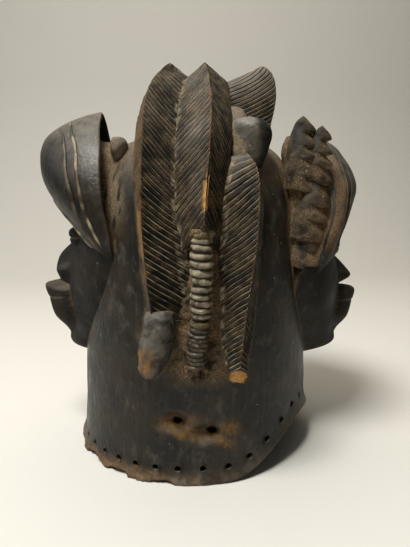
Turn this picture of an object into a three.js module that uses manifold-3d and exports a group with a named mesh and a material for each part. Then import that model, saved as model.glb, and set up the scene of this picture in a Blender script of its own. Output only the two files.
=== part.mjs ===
import * as THREE from 'three';
import { mergeVertices } from 'three/addons/utils/BufferGeometryUtils.js';
import Module from 'manifold-3d';

// Janus helmet mask carved from one block of wood, millimetres, +Z up, standing on its rim.
// The faces look along -X and +X; the comb of three ridges runs over the top along Y.

const RAD = Math.PI / 180;
const WELD = 0.02;
// bumps flatter than this are left out of the joined skin
const FLAT = 0.45;

// wall and dome: half widths by height, and how far the wall stands off the middle
const WALL_CENTRE_X = -15;
const WALL_HALF_X = [
  [0, 117.5], [10, 115.5], [40, 113], [90, 111], [150, 106], [200, 101], [240, 97], [262, 91],
  [280, 80], [291, 61], [296.5, 34], [298, 8],
];
const WALL_HALF_Y = [
  [0, 113], [10, 111.5], [40, 110], [90, 108], [150, 106], [200, 102], [240, 96], [262, 88],
  [280, 74], [291, 55], [296.5, 30], [298, 8],
];
const WALL_TOP = 298;
const WALL_SQUARENESS = 2.15;
const RIM_FLARE = 3.5;
const RIM_FLARE_HEIGHT = 14;
const RIM_ROUND = 3;
const RIM_BLEND = 90;
const RIM_LAND = 40;

// hollow for the wearer's head, open below
const CAVITY_HALF_X = 103;
const CAVITY_HALF_Y = 99;
const CAVITY_TAPER = 15;
const CAVITY_TOP = 276;
const CAVITY_SHOULDER = 150;
const CAVITY_ROWS = 7;

// places where the foot of the rim is broken away: angle, half angle, height lost
const RIM_CHIPS = [[-106, 5, 2.5], [-128, 6, 3.5], [-146, 7, 4], [-163, 5, 3], [62, 9, 3], [122, 8, 4]];

// the rim runs up on one side: angle of the highest place, run before and after it, rise
const RIM_SWEEP = [-36, 48, 78, 40];

// holes through the wall
const RIM_HOLES = 38;
const RIM_HOLE_RADIUS = 2.75;
const RIM_HOLE_HEIGHT = 13;
const RIM_HOLE_FIRST = -90.5;
const TIE_HOLE_RADIUS = 3.9;
const TIE_HOLE_STRETCH = 0.85;
const TIE_HOLE_FORWARD = 108;
const TIE_HOLES = [[-37, 52.5], [-8, 44]];

// heads: how far the face stands out, half width, nose, lips, by height on the left head
const FACE_REACH = [
  [84, 100], [87, 120], [91, 137], [97, 144], [106, 142.5], [114, 139.5], [130, 139.5], [150, 141],
  [165, 140.5], [180, 137.5], [196, 131], [208, 128], [220, 130], [230, 136], [240, 142],
];
const FACE_HALF_WIDTH = [
  [84, 20], [87, 27], [91, 32], [97, 38], [106, 46], [120, 57], [150, 69], [180, 75],
  [194, 76], [203, 70], [212, 64], [225, 56], [240, 48],
];
const FACE_BACK = [[84, 76], [180, 80], [198, 92], [212, 100], [240, 104]];
const FACE_SQUARENESS = 2.15;
const NOSE_REACH = [
  [84, 0], [156, 2], [158, 9], [161, 12], [164, 14], [168, 16], [176, 16.5], [184, 15.5],
  [191, 12], [198, 7], [206, 5], [216, 4], [228, 1], [240, 0],
];
const RIGHT_NOSE_REACH = [
  [84, 0], [156, 0], [160, 5], [163, 13], [167, 21], [170, 22], [176, 18.5], [182, 15],
  [190, 10], [200, 6], [214, 2], [228, 0], [240, 0],
];
const NOSE_HALF_WIDTH = [[84, 12], [158, 12.5], [168, 12], [180, 8.5], [200, 5.5], [216, 5], [240, 5]];
const LIP_REACH = [
  [84, 0], [102, 0], [107, 3.5], [112, 9.5], [117, 15], [122, 18.5], [131, 21], [141, 22],
  [148, 23.5], [152.5, 23.7], [155.3, 21.5], [157, 12], [158.5, 0], [240, 0],
];
const LIP_HALF_WIDTH = 25;
const MOUTH_HEIGHT = 141;
const EYE_HEIGHT = 203;
const EYE_SPREAD = 29;
const EYE_HALF_WIDTH = 16;
const EYE_HALF_HEIGHT = 9;
const EYE_DEPTH = 11.5;
const EYE_SINK = 3.5;
const BROW_HEIGHT = 213;
const BROW_STANDS = 6;
const FACE_LEVELS = [
  84, 87, 91, 97, 106, 112, 118, 124, 133, 141, 148, 153, 156, 158.5,
  163, 168, 175, 184, 194, 204, 212, 220, 230, 240,
];
const FACE_COLUMNS = 12;

// hood of hair over each forehead
const HOOD_REACH = [
  [176, 96], [188, 106], [197, 118], [206, 125], [216, 132], [226, 141.5], [238, 151.5], [250, 158.5],
  [262, 162], [275, 163], [285, 161.5], [294, 157], [302, 148], [309, 136], [315, 122], [319, 109],
];
const HOOD_HALF_WIDTH = [
  [176, 71], [190, 77.5], [205, 80], [230, 79], [253, 73], [274, 62], [290, 49], [303, 34],
  [313, 19], [319, 6],
];
const HOOD_BACK = [
  [176, 87], [190, 90], [212, 93], [226, 96], [253, 99], [275, 100], [300, 103], [319, 104],
];
const HOOD_SQUARENESS = [[176, 2.7], [190, 2.7], [210, 2.6], [240, 2.05], [319, 2.05]];
const RIGHT_REACH = [
  [176, 102], [188, 114], [201, 127], [216, 132], [231, 142], [251, 152.5], [258, 155.5], [267, 156],
  [280, 152], [294, 144], [303, 138], [310, 128], [315, 119], [319, 110],
];
const RIGHT_BACK = [
  [176, 94], [190, 100], [212, 105.5], [231, 112], [249, 115], [267, 115], [281, 113], [294, 110], [308, 107],
  [319, 105],
];
// section of the rim of each hood from its outer edge inwards: how far back, how far in
const LEFT_RIM = [[0.6, 3.6], [-5.5, 9.5], [-8.5, 14.5]];
const RIGHT_RIM = [[9.5, 6], [8.5, 9.5], [-4, 13.5]];
// neck of wood that ties a hood to the block: how far back it reaches, half width
const NECK_BACK = [[176, 62], [276, 62], [284, 72], [289, 88], [293, 110], [319, 110]];
const NECK_HALF = [
  [176, 57], [240, 55], [262, 49], [278, 38], [287, 24], [293, 8], [319, 6],
];
const HOOD_FOOT = 176;
const HOOD_TOP = 319;
const HOOD_ROWS = 10;
const HOOD_COLUMNS = 12;
const WELT_RADIUS = 1.7;
const WELT_SIDES = 3;
const WELT_ROWS = 5;
// raised lines of hair on a hood: height and angle from the forehead
const HAIR_LINES = [
  [[299, 44], [292, 56], [278, 61.5], [262, 62.2], [245, 63.5], [230, 62.4], [216, 62], [205, 65], [195, 72]],
  [[306, 46], [300, 59], [287, 69], [275, 71.8], [260, 72.3], [235, 72.8], [220, 73.6], [208, 76], [196, 81]],
];
const HEAD_FOOT = 91;
const RIGHT_HEAD_FOOT = 85;
const RIGHT_HEAD_SCALE = [0.94, 0.93, 0.955];
const RIGHT_HOOD_REACH = 0.92;

// comb of ridges over the top, set a few degrees off square to the faces: stations give
// across (x), forward from the middle (-y) and height of a keel or a valley
const COMB_TURN = -5;
const LEFT_KEEL = [
  [-37, 0, 366], [-42, 28, 356], [-50, 57, 336], [-54, 79, 312], [-53, 103, 281], [-53, 118, 235],
  [-51, 121, 190], [-46, 118, 140],
];
const LEFT_VALLEY = [
  [-18, 0, 351], [-21, 28, 346], [-26, 58, 322], [-28, 78, 298], [-29, 95, 268], [-28, 105, 230],
  [-24, 109, 190], [-22, 108, 140],
];
const LEFT_FOOT = [
  [-43, 0, 352], [-48, 24, 346], [-52, 50, 336], [-58, 66, 314], [-60, 91, 282], [-59, 105, 236],
  [-56, 107, 190], [-50, 107, 140],
];
const MIDDLE_LEFT_FOOT = [
  [-18, 0, 351], [-21, 28, 346], [-26, 58, 322], [-28, 78, 298], [-29, 95, 268], [-28, 103, 240],
  [-27, 107, 219], [-22, 108, 196],
];
const MIDDLE_KEEL = [
  [-5, 0, 365], [-5, 30, 359], [-2, 62, 340], [0, 94, 310], [-1, 116, 278], [-4, 128, 244],
  [-5, 131, 225], [-6, 122, 206],
];
const RIGHT_VALLEY = [
  [13, 0, 350], [13, 28, 344], [14, 60, 320], [14, 84, 294], [12, 99, 264], [9, 105, 240],
  [7, 108, 219], [4, 108, 196],
];
const LOWER_VALLEY = [
  [18, 90, 271], [14, 99, 258], [11, 105, 240], [10, 107, 215], [10, 108, 190], [10, 108, 150],
  [11, 109, 118], [15, 108, 96], [18, 107, 78],
];
const RIGHT_KEEL = [
  [28, 95, 273], [34, 106, 262], [36, 116, 246], [35, 124, 220], [32, 127, 190], [27, 125, 150],
  [24, 121, 118], [22.5, 118, 96], [21, 114, 78],
];
const RIGHT_FOOT = [
  [35, 70, 262], [39, 82, 256], [42, 92, 244], [41, 98, 220], [39, 101, 190], [35, 103, 150],
  [31.5, 104, 118], [27.5, 104.5, 96], [24.5, 104.5, 78],
];
const BACK_VALLEY = [
  [19, 44, 292], [18, 26, 317], [16, 16, 334], [15, 3, 347], [14, -14, 351], [15, -40, 336],
  [16, -66, 310], [18, -90, 272], [26, -108, 206],
];
const BACK_KEEL = [
  [57, 8, 286], [60, 4, 311], [64, 5, 335], [61, 0, 357], [50, -12, 368], [52, -38, 356],
  [57, -68, 328], [58, -98, 276], [34, -110, 190],
];
const BACK_FOOT = [
  [56, -8, 280], [58, -10, 300], [62, -8, 322], [60, -14, 338], [54, -24, 346], [54, -40, 335],
  [58, -60, 310], [60, -82, 264], [42, -104, 206],
];
// points that the long ridges run down to behind the head: left foot, keel, right foot
const LEFT_TAIL = [[-46, -102, 158], [-41, -107, 132], [-35, -106, 158]];
const MIDDLE_TAIL = [[-17, -108, 204], [-8, -112, 186], [1, -108, 204]];
// break across the foot of the short ridge: a place on it, and the way it faces
const BREAK_AT = [11.3, -112, 93];
const BREAK_FACES = [-0.05, -0.62, -0.78];
const COMB_HEART = 175;
const COMB_CORE = 82;
const RIDGE_ROWS = 12;
const RIDGE_OVERLAP = 1.18;

// plait, knobs and the broken comb beside the right hood, in the frame of the mask
const PLAIT = [
  [-17, 113, 214], [-18, 117, 198], [-18, 117, 176], [-18, 115, 156], [-19, 112, 138], [-21, 109, 120],
  [-22, 107, 101],
];
const PLAIT_SIDES = 6;
const PLAIT_LUMP = 2.6;
const PLAIT_CRACK = 0.622;
const PLAIT_CRACK_DEPTH = 1.5;
// from and to along the run, number of rings, radius of the stem, how far a ring stands out
const BOLD_RINGS = [0.1, 0.59, 11, 6.3, 1.9];
const FINE_RINGS = [0.66, 0.985, 10, 7.4, 0.8];
// rows from the top down: x, forward and height of the middle, half width, half depth
const BUD = [
  [25, 70, 304, 2, 2], [25, 70, 303.2, 7.5, 7.5], [25.5, 70, 301, 13.5, 13], [26.5, 70, 296, 18, 16.5],
  [26.5, 71, 288.5, 18.5, 17], [25.5, 72, 280, 17.5, 15.5], [24, 74, 271, 15.5, 13], [24, 76, 262, 12, 9],
];
// rough ground left between the bud, the middle ridge and the short feather
const BUD_GROUND = [
  [14, 44, 317, 1.5, 1.5], [14.5, 47, 316, 7, 8], [16, 56, 310, 9, 10], [17, 66, 296, 10.5, 12],
  [16.5, 74, 281, 10.5, 13], [16, 80, 270, 8, 11], [16, 82, 266, 5, 7],
];
const KNOB = [
  [-50, 106, 150, 3, 3], [-50, 106, 149.3, 8, 9], [-50.5, 107, 144, 11.5, 13], [-51.5, 107, 131, 13.8, 15],
  [-54, 106.5, 118, 13.4, 14.5], [-57.5, 106, 104, 10.5, 11.5], [-59.5, 105, 94.5, 5.5, 7],
  [-60, 104.5, 92.5, 2, 3],
];
const LUMP = [
  [-85, 50, 290, 1.5, 1.5], [-85, 50, 289, 5, 6], [-84.5, 49, 284, 7.5, 10], [-85, 48, 277, 7, 10],
  [-86, 46, 268, 3, 5],
];
const KNOB_SIDES = 8;
const CREST_GROUND = [
  [79, 50, 176, 9, 12], [79, 50, 196, 14, 15], [80.5, 50, 235, 16.5, 17],
  [80.5, 50, 262, 17.5, 17], [76.5, 50, 281, 16.5, 15], [74, 50, 292, 10, 9],
];
// leaves of hair: foot x, forward and height, tip x, forward and height, half width and half depth, folds
const CREST_LEAVES = [
  [77, 55, 246, 75, 63, 307.5, 18, 17, 5],
  [86, 60, 254, 90.5, 67, 299, 13, 14, 4],
  [80, 57, 203, 91.5, 66, 265, 17, 17, 4],
  [79, 56, 178, 84, 63, 223, 16, 15, 3],
];
// how far a lobe stands out at its lip, and is cut in under it
const CREST_FOLD = [2.2, -2.6];
const CREST_SIDES = 6;

const wood = new THREE.MeshStandardMaterial({ color: 0x2c211a, roughness: 0.5, metalness: 0 });

const wasm = await Module();
wasm.setup();

/** Smooth value at t through a short table of [station, value ...] rows. */
function along(table, t, column = 1) {
  const last = table.length - 1;
  if (t <= table[0][0]) return table[0][column];
  if (t >= table[last][0]) return table[last][column];
  let i = 0;
  while (t > table[i + 1][0]) i += 1;
  const slope = (k) => {
    const lo = Math.max(0, k - 1);
    const hi = Math.min(last, k + 1);
    return (table[hi][column] - table[lo][column]) / (table[hi][0] - table[lo][0]);
  };
  const h = table[i + 1][0] - table[i][0];
  const s = (t - table[i][0]) / h;
  const a = table[i][column];
  const b = table[i + 1][column];
  return (2 * s ** 3 - 3 * s ** 2 + 1) * a + (s ** 3 - 2 * s ** 2 + s) * h * slope(i)
    + (-2 * s ** 3 + 3 * s ** 2) * b + (s ** 3 - s ** 2) * h * slope(i + 1);
}

/** Power of a signed cosine or sine, for a squared oval. */
const squared = (v, n) => Math.sign(v) * Math.abs(v) ** (2 / n);

/** Closed skin over rings of equal length, with a fan at each end. */
function skin(rings) {
  const n = rings[0].length;
  const points = rings.flat();
  const index = [];
  for (let r = 0; r < rings.length - 1; r += 1) {
    for (let c = 0; c < n; c += 1) {
      const a = r * n + c;
      const b = r * n + ((c + 1) % n);
      index.push(a, b, b + n, a, b + n, a + n);
    }
  }
  for (const [r, turn] of [[0, true], [rings.length - 1, false]]) {
    const middle = rings[r].reduce((sum, p) => sum.add(p), new THREE.Vector3()).multiplyScalar(1 / n);
    points.push(middle);
    const m = points.length - 1;
    for (let c = 0; c < n; c += 1) {
      const a = r * n + c;
      const b = r * n + ((c + 1) % n);
      if (turn) index.push(m, b, a);
      else index.push(m, a, b);
    }
  }
  const geometry = new THREE.BufferGeometry().setFromPoints(points);
  geometry.setIndex(index);
  return outward(geometry);
}

/** Turns the faces round where the skin came out inside out. */
function outward(geometry) {
  const p = geometry.getAttribute('position');
  const ix = geometry.getIndex().array;
  const [a, b, c] = [new THREE.Vector3(), new THREE.Vector3(), new THREE.Vector3()];
  let volume = 0;
  for (let i = 0; i < ix.length; i += 3) {
    a.fromBufferAttribute(p, ix[i]);
    b.fromBufferAttribute(p, ix[i + 1]);
    c.fromBufferAttribute(p, ix[i + 2]);
    volume += a.dot(b.cross(c));
  }
  if (volume < 0) {
    for (let i = 0; i < ix.length; i += 3) [ix[i], ix[i + 1]] = [ix[i + 1], ix[i]];
  }
  return geometry;
}

/** Solid for joining and cutting. */
function solid(geometry) {
  let g = geometry.clone();
  g.deleteAttribute('normal');
  g.deleteAttribute('uv');
  g = mergeVertices(g, 1e-3);
  return new wasm.Manifold(new wasm.Mesh({
    numProp: 3,
    vertProperties: new Float32Array(g.getAttribute('position').array),
    triVerts: new Uint32Array(g.getIndex().array),
  }));
}

/** Smooth hump from 1 in the middle to 0 at the edge. */
const hump = (v) => (Math.abs(v) < 1 ? Math.cos(v * 90 * RAD) ** 2 : 0);

/** Rise of the rim and its holes on the side where it runs up. */
function rimSweep(angle) {
  const off = ((angle / RAD - RIM_SWEEP[0] + 540) % 360) - 180;
  return RIM_SWEEP[3] * hump(off / (off < 0 ? RIM_SWEEP[1] : RIM_SWEEP[2]));
}

/** Height of the foot of the rim at an angle, raised where it is broken. */
function rimFoot(angle) {
  return rimSweep(angle) + RIM_CHIPS.reduce((lost, [middle, half, height]) => {
    const off = Math.abs(((angle / RAD - middle + 540) % 360) - 180) / half;
    return off < 1 ? Math.max(lost, height * Math.sqrt(1 - off ** 2)) : lost;
  }, 0);
}

/** Point on the outside of the wall, with the lip turned out at the foot. */
function wallPoint(angle, z, inset = 0) {
  const flare = RIM_FLARE * Math.max(0, 1 - (z - rimSweep(angle)) / RIM_FLARE_HEIGHT) ** 2;
  const a = along(WALL_HALF_X, z) + flare - inset;
  const b = along(WALL_HALF_Y, z) + flare - inset;
  return new THREE.Vector3(
    WALL_CENTRE_X + a * squared(Math.cos(angle), WALL_SQUARENESS),
    b * squared(Math.sin(angle), WALL_SQUARENESS),
    z,
  );
}

function wall() {
  const columns = 32;
  const heights = [0, 0, RIM_ROUND, 14, 90, 150, 200, 238, 262, 278, 289, 295.5, WALL_TOP];
  const insets = [RIM_LAND, RIM_ROUND];
  const rings = heights.map((z, row) => Array.from({ length: columns }, (_, c) => {
    const angle = (c / columns) * 2 * Math.PI;
    const lost = rimFoot(angle);
    return wallPoint(angle, z + lost * Math.max(0, 1 - z / RIM_BLEND), insets[row] ?? 0);
  }));
  return skin(rings);
}

function cavity() {
  const columns = 24;
  const rings = [];
  for (let row = 0; row <= CAVITY_ROWS; row += 1) {
    const rise = row / CAVITY_ROWS;
    const z = row === 0 ? -5 : CAVITY_TOP * Math.sin(rise * 90 * RAD);
    const dome = z > CAVITY_SHOULDER
      ? Math.sqrt(Math.max(0.004, 1 - ((z - CAVITY_SHOULDER) / (CAVITY_TOP - CAVITY_SHOULDER + 0.4)) ** 2.2)) : 1;
    const taper = CAVITY_TAPER * Math.max(0, z) / CAVITY_TOP;
    rings.push(Array.from({ length: columns }, (_, c) => {
      const angle = (c / columns) * 2 * Math.PI;
      return new THREE.Vector3(
        WALL_CENTRE_X + (CAVITY_HALF_X - taper) * dome * squared(Math.cos(angle), WALL_SQUARENESS),
        (CAVITY_HALF_Y - taper) * dome * squared(Math.sin(angle), WALL_SQUARENESS),
        z,
      );
    }));
  }
  return skin(rings);
}

/** One face in left-head heights, reaching along +X before it is set on its side. */
function face(nose) {
  const rings = [];
  for (const z of FACE_LEVELS) {
    const back = along(FACE_BACK, z);
    const reach = along(FACE_REACH, z);
    const half = along(FACE_HALF_WIDTH, z);
    const ring = [];
    for (let c = 0; c <= FACE_COLUMNS; c += 1) {
      const across = (2 * c) / FACE_COLUMNS - 1;
      const turn = (0.62 * across + 0.38 * across ** 3) * 90 * RAD;
      const y = half * squared(Math.sin(turn), FACE_SQUARENESS) * (0.9 + 0.1 * Math.abs(Math.sin(turn)));
      const corner = Math.min(1, Math.abs(y) / LIP_HALF_WIDTH);
      const spread = MOUTH_HEIGHT + (z - MOUTH_HEIGHT) / (1 - 0.42 * corner ** 2);
      const arch = z - BROW_HEIGHT + 7 * (y / 40) ** 2;
      let x = back + (reach - back) * squared(Math.cos(turn), FACE_SQUARENESS);
      x += along(nose, z) * hump(y / (2 * along(NOSE_HALF_WIDTH, z)));
      x += along(LIP_REACH, spread) * Math.sqrt(1 - corner ** 2.4);
      x += BROW_STANDS * hump(arch / 8.5) * hump(y / 50) ** 0.6;
      ring.push(new THREE.Vector3(x, y, z));
    }
    ring.push(new THREE.Vector3(back - 14, half * 0.6, z), new THREE.Vector3(back - 14, -half * 0.6, z));
    rings.push(ring);
  }
  return skin(rings);
}

/** Closed eye, a long low oval half sunk in the face. */
function eye(across) {
  const back = along(FACE_BACK, EYE_HEIGHT);
  const side = EYE_SPREAD / along(FACE_HALF_WIDTH, EYE_HEIGHT);
  const on = back + (along(FACE_REACH, EYE_HEIGHT) - back) * (1 - side ** FACE_SQUARENESS) ** (1 / FACE_SQUARENESS);
  const g = new THREE.SphereGeometry(1, 9, 5);
  g.rotateX(90 * RAD);
  g.scale(EYE_DEPTH, EYE_HALF_WIDTH, EYE_HALF_HEIGHT);
  g.rotateZ(across * 22 * RAD);
  g.translate(on - EYE_SINK, across * EYE_SPREAD, EYE_HEIGHT);
  return g;
}

/** Point on the outside of a hood at a height and at an angle from the forehead. */
function hoodPoint([reach, back], z, turn, lift = 0) {
  const behind = along(back, z);
  const half = along(HOOD_HALF_WIDTH, z) + lift;
  const power = along(HOOD_SQUARENESS, z);
  return new THREE.Vector3(
    behind + (along(reach, z) - behind + lift) * squared(Math.cos(turn), power),
    half * squared(Math.sin(turn), power),
    z,
  );
}

/** Hood of hair with its rim and the neck that ties it to the block. */
function hood(tables, rim) {
  const rings = [];
  for (let row = 0; row <= HOOD_ROWS; row += 1) {
    const rise = row / HOOD_ROWS;
    const z = HOOD_FOOT + (HOOD_TOP - HOOD_FOOT) * (1 - (1 - rise) ** 1.5);
    const ring = [];
    for (let c = 0; c <= HOOD_COLUMNS; c += 1) ring.push(hoodPoint(tables, z, (c / HOOD_COLUMNS - 0.5) * 180 * RAD));
    const [reach, back] = tables.map((table) => along(table, z));
    const half = along(HOOD_HALF_WIDTH, z);
    const fit = Math.min(1, half / 34) * Math.min(1, (reach - back) / 22);
    const inner = rim.map(([behind, within]) => [back - fit * behind, half - fit * within]);
    const [floorX, floorY] = inner[inner.length - 1];
    const neck = Math.min(along(NECK_HALF, z), floorY * 0.9);
    inner.push([floorX, neck], [Math.min(along(NECK_BACK, z), floorX - 0.5), neck * 0.95]);
    ring.push(...inner.map(([x, y]) => new THREE.Vector3(x, y, z)));
    ring.push(...inner.reverse().map(([x, y]) => new THREE.Vector3(x, -y, z)));
    rings.push(ring);
  }
  return skin(rings);
}

/** Raised line of hair along a track down one side of a hood. */
function welt(tables, track, side) {
  const points = track.map(([z, degrees]) => hoodPoint(tables, z, side * degrees * RAD, 0.1));
  return new THREE.TubeGeometry(new THREE.CatmullRomCurve3(points), WELT_ROWS, WELT_RADIUS, WELT_SIDES, false);
}

/** Caps a tube at both ends so it is a closed solid. */
function capped(tube, radial) {
  const p = tube.getAttribute('position');
  const rows = p.count / (radial + 1);
  const rings = Array.from({ length: rows }, (_, r) => Array.from({ length: radial }, (_, c) => (
    new THREE.Vector3().fromBufferAttribute(p, r * (radial + 1) + c))));
  return skin(rings);
}

/** Sets head parts on the left (-1) or the right (+1) side. */
function setHead(geometry, side, reach = RIGHT_HEAD_SCALE[0]) {
  const g = geometry.clone();
  const foot = side < 0 ? HEAD_FOOT : RIGHT_HEAD_FOOT;
  const scale = side < 0 ? [1, 1, 1] : [reach, RIGHT_HEAD_SCALE[1], RIGHT_HEAD_SCALE[2]];
  g.applyMatrix4(new THREE.Matrix4().makeTranslation(0, 0, -HEAD_FOOT));
  g.applyMatrix4(new THREE.Matrix4().makeScale(side * scale[0], scale[1], scale[2]));
  g.applyMatrix4(new THREE.Matrix4().makeTranslation(0, 0, foot));
  return outward(mergeVertices(g, 1e-4));
}

/** Station lists across the comb turned into a point at share s of the run. */
function station(table, s) {
  const rows = table.map((row, i) => [i / (table.length - 1), row[0], -row[1], row[2]]);
  return new THREE.Vector3(along(rows, s, 1), along(rows, s, 2), along(rows, s, 3));
}

/** Front run of a list joined to its repeat down the back, which ends at a tail. */
const overTop = (table, tail) => [tail, ...table.slice(1, -1).reverse().map(([x, y, z]) => [x, -y, z]), ...table];

/** Ridge of V section between two feet, with its core sunk into the block. */
function ridge(left, keel, right, rows = RIDGE_ROWS) {
  const rings = [];
  for (let r = 0; r <= rows; r += 1) {
    const s = r / rows;
    const [a, k, b] = [station(left, s), station(keel, s), station(right, s)];
    const sunk = (p) => {
      const rise = Math.max(0, p.z - COMB_HEART);
      const out = Math.hypot(p.y, rise);
      return new THREE.Vector3(p.x, (p.y / out) * COMB_CORE, p.z - rise + (rise / out) * COMB_CORE);
    };
    a.sub(k).multiplyScalar(RIDGE_OVERLAP).add(k);
    b.sub(k).multiplyScalar(RIDGE_OVERLAP).add(k);
    rings.push([a, k, b, sunk(b), sunk(a)]);
  }
  return skin(rings);
}

/** Ringed plait under the middle ridge: a lump, bold rings, a crack, then fine rings. */
function plait() {
  const rows = [[0, 5.5], [0.03, BOLD_RINGS[3] + PLAIT_LUMP]];
  for (const [start, stop, count, radius, stands] of [BOLD_RINGS, FINE_RINGS]) {
    const step = (stop - start) / (count - 1);
    for (let i = 0; i < count; i += 1) {
      rows.push([start + step * (i - 0.5), radius - 0.4], [start + step * i, radius + stands]);
    }
    if (stop < PLAIT_CRACK) rows.push([PLAIT_CRACK, radius - PLAIT_CRACK_DEPTH]);
  }
  rows.push([1, FINE_RINGS[3] - 2.5]);
  return skin(rows.map(([s, radius]) => {
    const centre = station(PLAIT, s);
    return Array.from({ length: PLAIT_SIDES }, (_, c) => {
      const angle = (c / PLAIT_SIDES) * 2 * Math.PI;
      return centre.clone().add(new THREE.Vector3(radius * Math.cos(angle), 1.15 * radius * Math.sin(angle), 0));
    });
  }));
}

/** Knob or ground lofted over oval sections, rows from one end to the other. */
function knob(sections, sides = KNOB_SIDES) {
  return skin(sections.map(([x, forward, z, wide, deep]) => Array.from({ length: sides }, (_, c) => {
    const angle = (c / sides) * 2 * Math.PI;
    return new THREE.Vector3(x + wide * Math.cos(angle), -forward + deep * Math.sin(angle), z);
  })));
}

/** One leaf of the crest: folded into lobes and drawn to a blunt tip. */
function leaf([x0, y0, z0, x1, y1, z1, wide, deep, folds]) {
  const rings = [];
  const rows = [];
  for (let fold = 0; fold < folds; fold += 1) rows.push([fold, CREST_FOLD[1]], [fold + 0.28, CREST_FOLD[0]]);
  rows.push([0.99 * folds, 0]);
  for (const [level, bump] of rows) {
    const s = level / folds;
    const size = 0.62 * (1 - s ** 1.5) ** 0.75 + 0.38 * Math.sqrt(1 - s ** 8);
    rings.push(Array.from({ length: CREST_SIDES }, (_, c) => {
      const angle = (c / CREST_SIDES) * 2 * Math.PI;
      const folded = hump((((angle / RAD - 318 + 540) % 360) - 180) / 125);
      const stand = bump * folded * Math.min(1, size * 1.6);
      const droop = -0.32 * wide * size * Math.max(0, Math.cos(angle + 42 * RAD));
      return new THREE.Vector3(
        x0 + (x1 - x0) * s ** 1.2 + (wide * size + stand) * Math.cos(angle),
        -(y0 + (y1 - y0) * s) + (deep * size + stand) * Math.sin(angle),
        z0 + (z1 - z0) * s + droop,
      );
    }));
  }
  return skin(rings);
}

/** Triangles of the outer skin alone: air trapped between joined forms is filled with wood. */
function outerSkin(points, index) {
  const root = Array.from({ length: points.length / 3 }, (_, i) => i);
  const find = (i) => {
    let k = i;
    while (root[k] !== k) k = root[k] = root[root[k]];
    return k;
  };
  for (let i = 0; i < index.length; i += 3) {
    root[find(index[i + 1])] = find(index[i]);
    root[find(index[i + 2])] = find(index[i]);
  }
  const skins = new Map();
  for (let i = 0; i < index.length; i += 3) {
    const key = find(index[i]);
    if (!skins.has(key)) skins.set(key, []);
    skins.get(key).push(index[i], index[i + 1], index[i + 2]);
  }
  return [...skins.values()].sort((a, b) => b.length - a.length)[0];
}

/** Turns ridges from the run of the comb into the frame of the mask. */
const turned = (geometry) => geometry.rotateZ(COMB_TURN * RAD);

/** Round or stretched cutter through the wall at a place, level, run out at an angle. */
function bore(on, angle, radius, stretch = 1, sides = 6) {
  const g = new THREE.CylinderGeometry(radius, radius, 44, sides);
  g.rotateZ(90 * RAD);
  g.scale(1, 1, stretch);
  g.rotateZ(angle);
  g.translate(on.x, on.y, on.z);
  return g;
}

let body = solid(wall());
const joinAll = (list) => list.forEach((g) => { body = body.add(solid(g)); });

const HEADS = [
  { side: -1, nose: NOSE_REACH, tables: [HOOD_REACH, HOOD_BACK], rim: LEFT_RIM },
  { side: 1, nose: RIGHT_NOSE_REACH, tables: [RIGHT_REACH, RIGHT_BACK], rim: RIGHT_RIM },
];
for (const { side, nose, tables, rim } of HEADS) {
  joinAll([setHead(face(nose), side), setHead(hood(tables, rim), side, RIGHT_HOOD_REACH)]);
  for (const across of [-1, 1]) {
    joinAll([setHead(eye(across), side)]);
    for (const track of HAIR_LINES) {
      joinAll([setHead(capped(welt(tables, track, across), WELT_SIDES), side, RIGHT_HOOD_REACH)]);
    }
  }
}
const over = (tables, tail) => tables.map((table, i) => overTop(table, tail[i]));
joinAll([
  ridge(...over([LEFT_FOOT, LEFT_KEEL, LEFT_VALLEY], LEFT_TAIL), 2 * RIDGE_ROWS),
  ridge(...over([MIDDLE_LEFT_FOOT, MIDDLE_KEEL, RIGHT_VALLEY], MIDDLE_TAIL), 2 * RIDGE_ROWS),
  ridge(BACK_VALLEY, BACK_KEEL, BACK_FOOT, RIDGE_ROWS + 3),
].map(turned));
const breakOff = BREAK_AT.reduce((sum, v, i) => sum + v * BREAK_FACES[i], 0);
body = body.add(solid(turned(ridge(LOWER_VALLEY, RIGHT_KEEL, RIGHT_FOOT)))
  .trimByPlane(BREAK_FACES.map((v) => -v), -breakOff / Math.hypot(...BREAK_FACES)));
joinAll([plait(), ...[BUD, BUD_GROUND, KNOB, LUMP, CREST_GROUND].map((rows) => knob(rows)), ...CREST_LEAVES.map(leaf)]);

body = body.subtract(solid(cavity()));
for (let i = 0; i < RIM_HOLES; i += 1) {
  const angle = (RIM_HOLE_FIRST + (360 * i) / RIM_HOLES) * RAD;
  const on = wallPoint(angle, RIM_HOLE_HEIGHT + rimSweep(angle));
  body = body.subtract(solid(bore(on, Math.atan2(on.y, on.x - WALL_CENTRE_X), RIM_HOLE_RADIUS)));
}
for (const [x, z] of TIE_HOLES) {
  const on = new THREE.Vector3(x, -TIE_HOLE_FORWARD, z);
  body = body.subtract(solid(bore(on, -90 * RAD, TIE_HOLE_RADIUS, TIE_HOLE_STRETCH, 12)));
}

const cut = body.simplify(FLAT).getMesh();
let geometry = new THREE.BufferGeometry();
geometry.setAttribute('position', new THREE.BufferAttribute(new Float32Array(cut.vertProperties), 3));
geometry.setIndex(new THREE.BufferAttribute(new Uint32Array(outerSkin(cut.vertProperties, cut.triVerts)), 1));
geometry = mergeVertices(geometry, WELD);
const corners = Array.from(geometry.getIndex().array);
geometry.setIndex(corners.filter((_, i) => {
  const [a, b, c] = corners.slice(i - (i % 3), i - (i % 3) + 3);
  return a !== b && b !== c && c !== a;
}));
geometry.computeVertexNormals();
geometry.computeBoundingBox();
const box = geometry.boundingBox;
geometry.translate(-(box.min.x + box.max.x) / 2, -(box.min.y + box.max.y) / 2, -box.min.z);

const mask = new THREE.Mesh(geometry, wood);
mask.name = 'helmet_mask';

const group = new THREE.Group();
group.name = 'janus_helmet_mask';
group.add(mask);

export default group;
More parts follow.
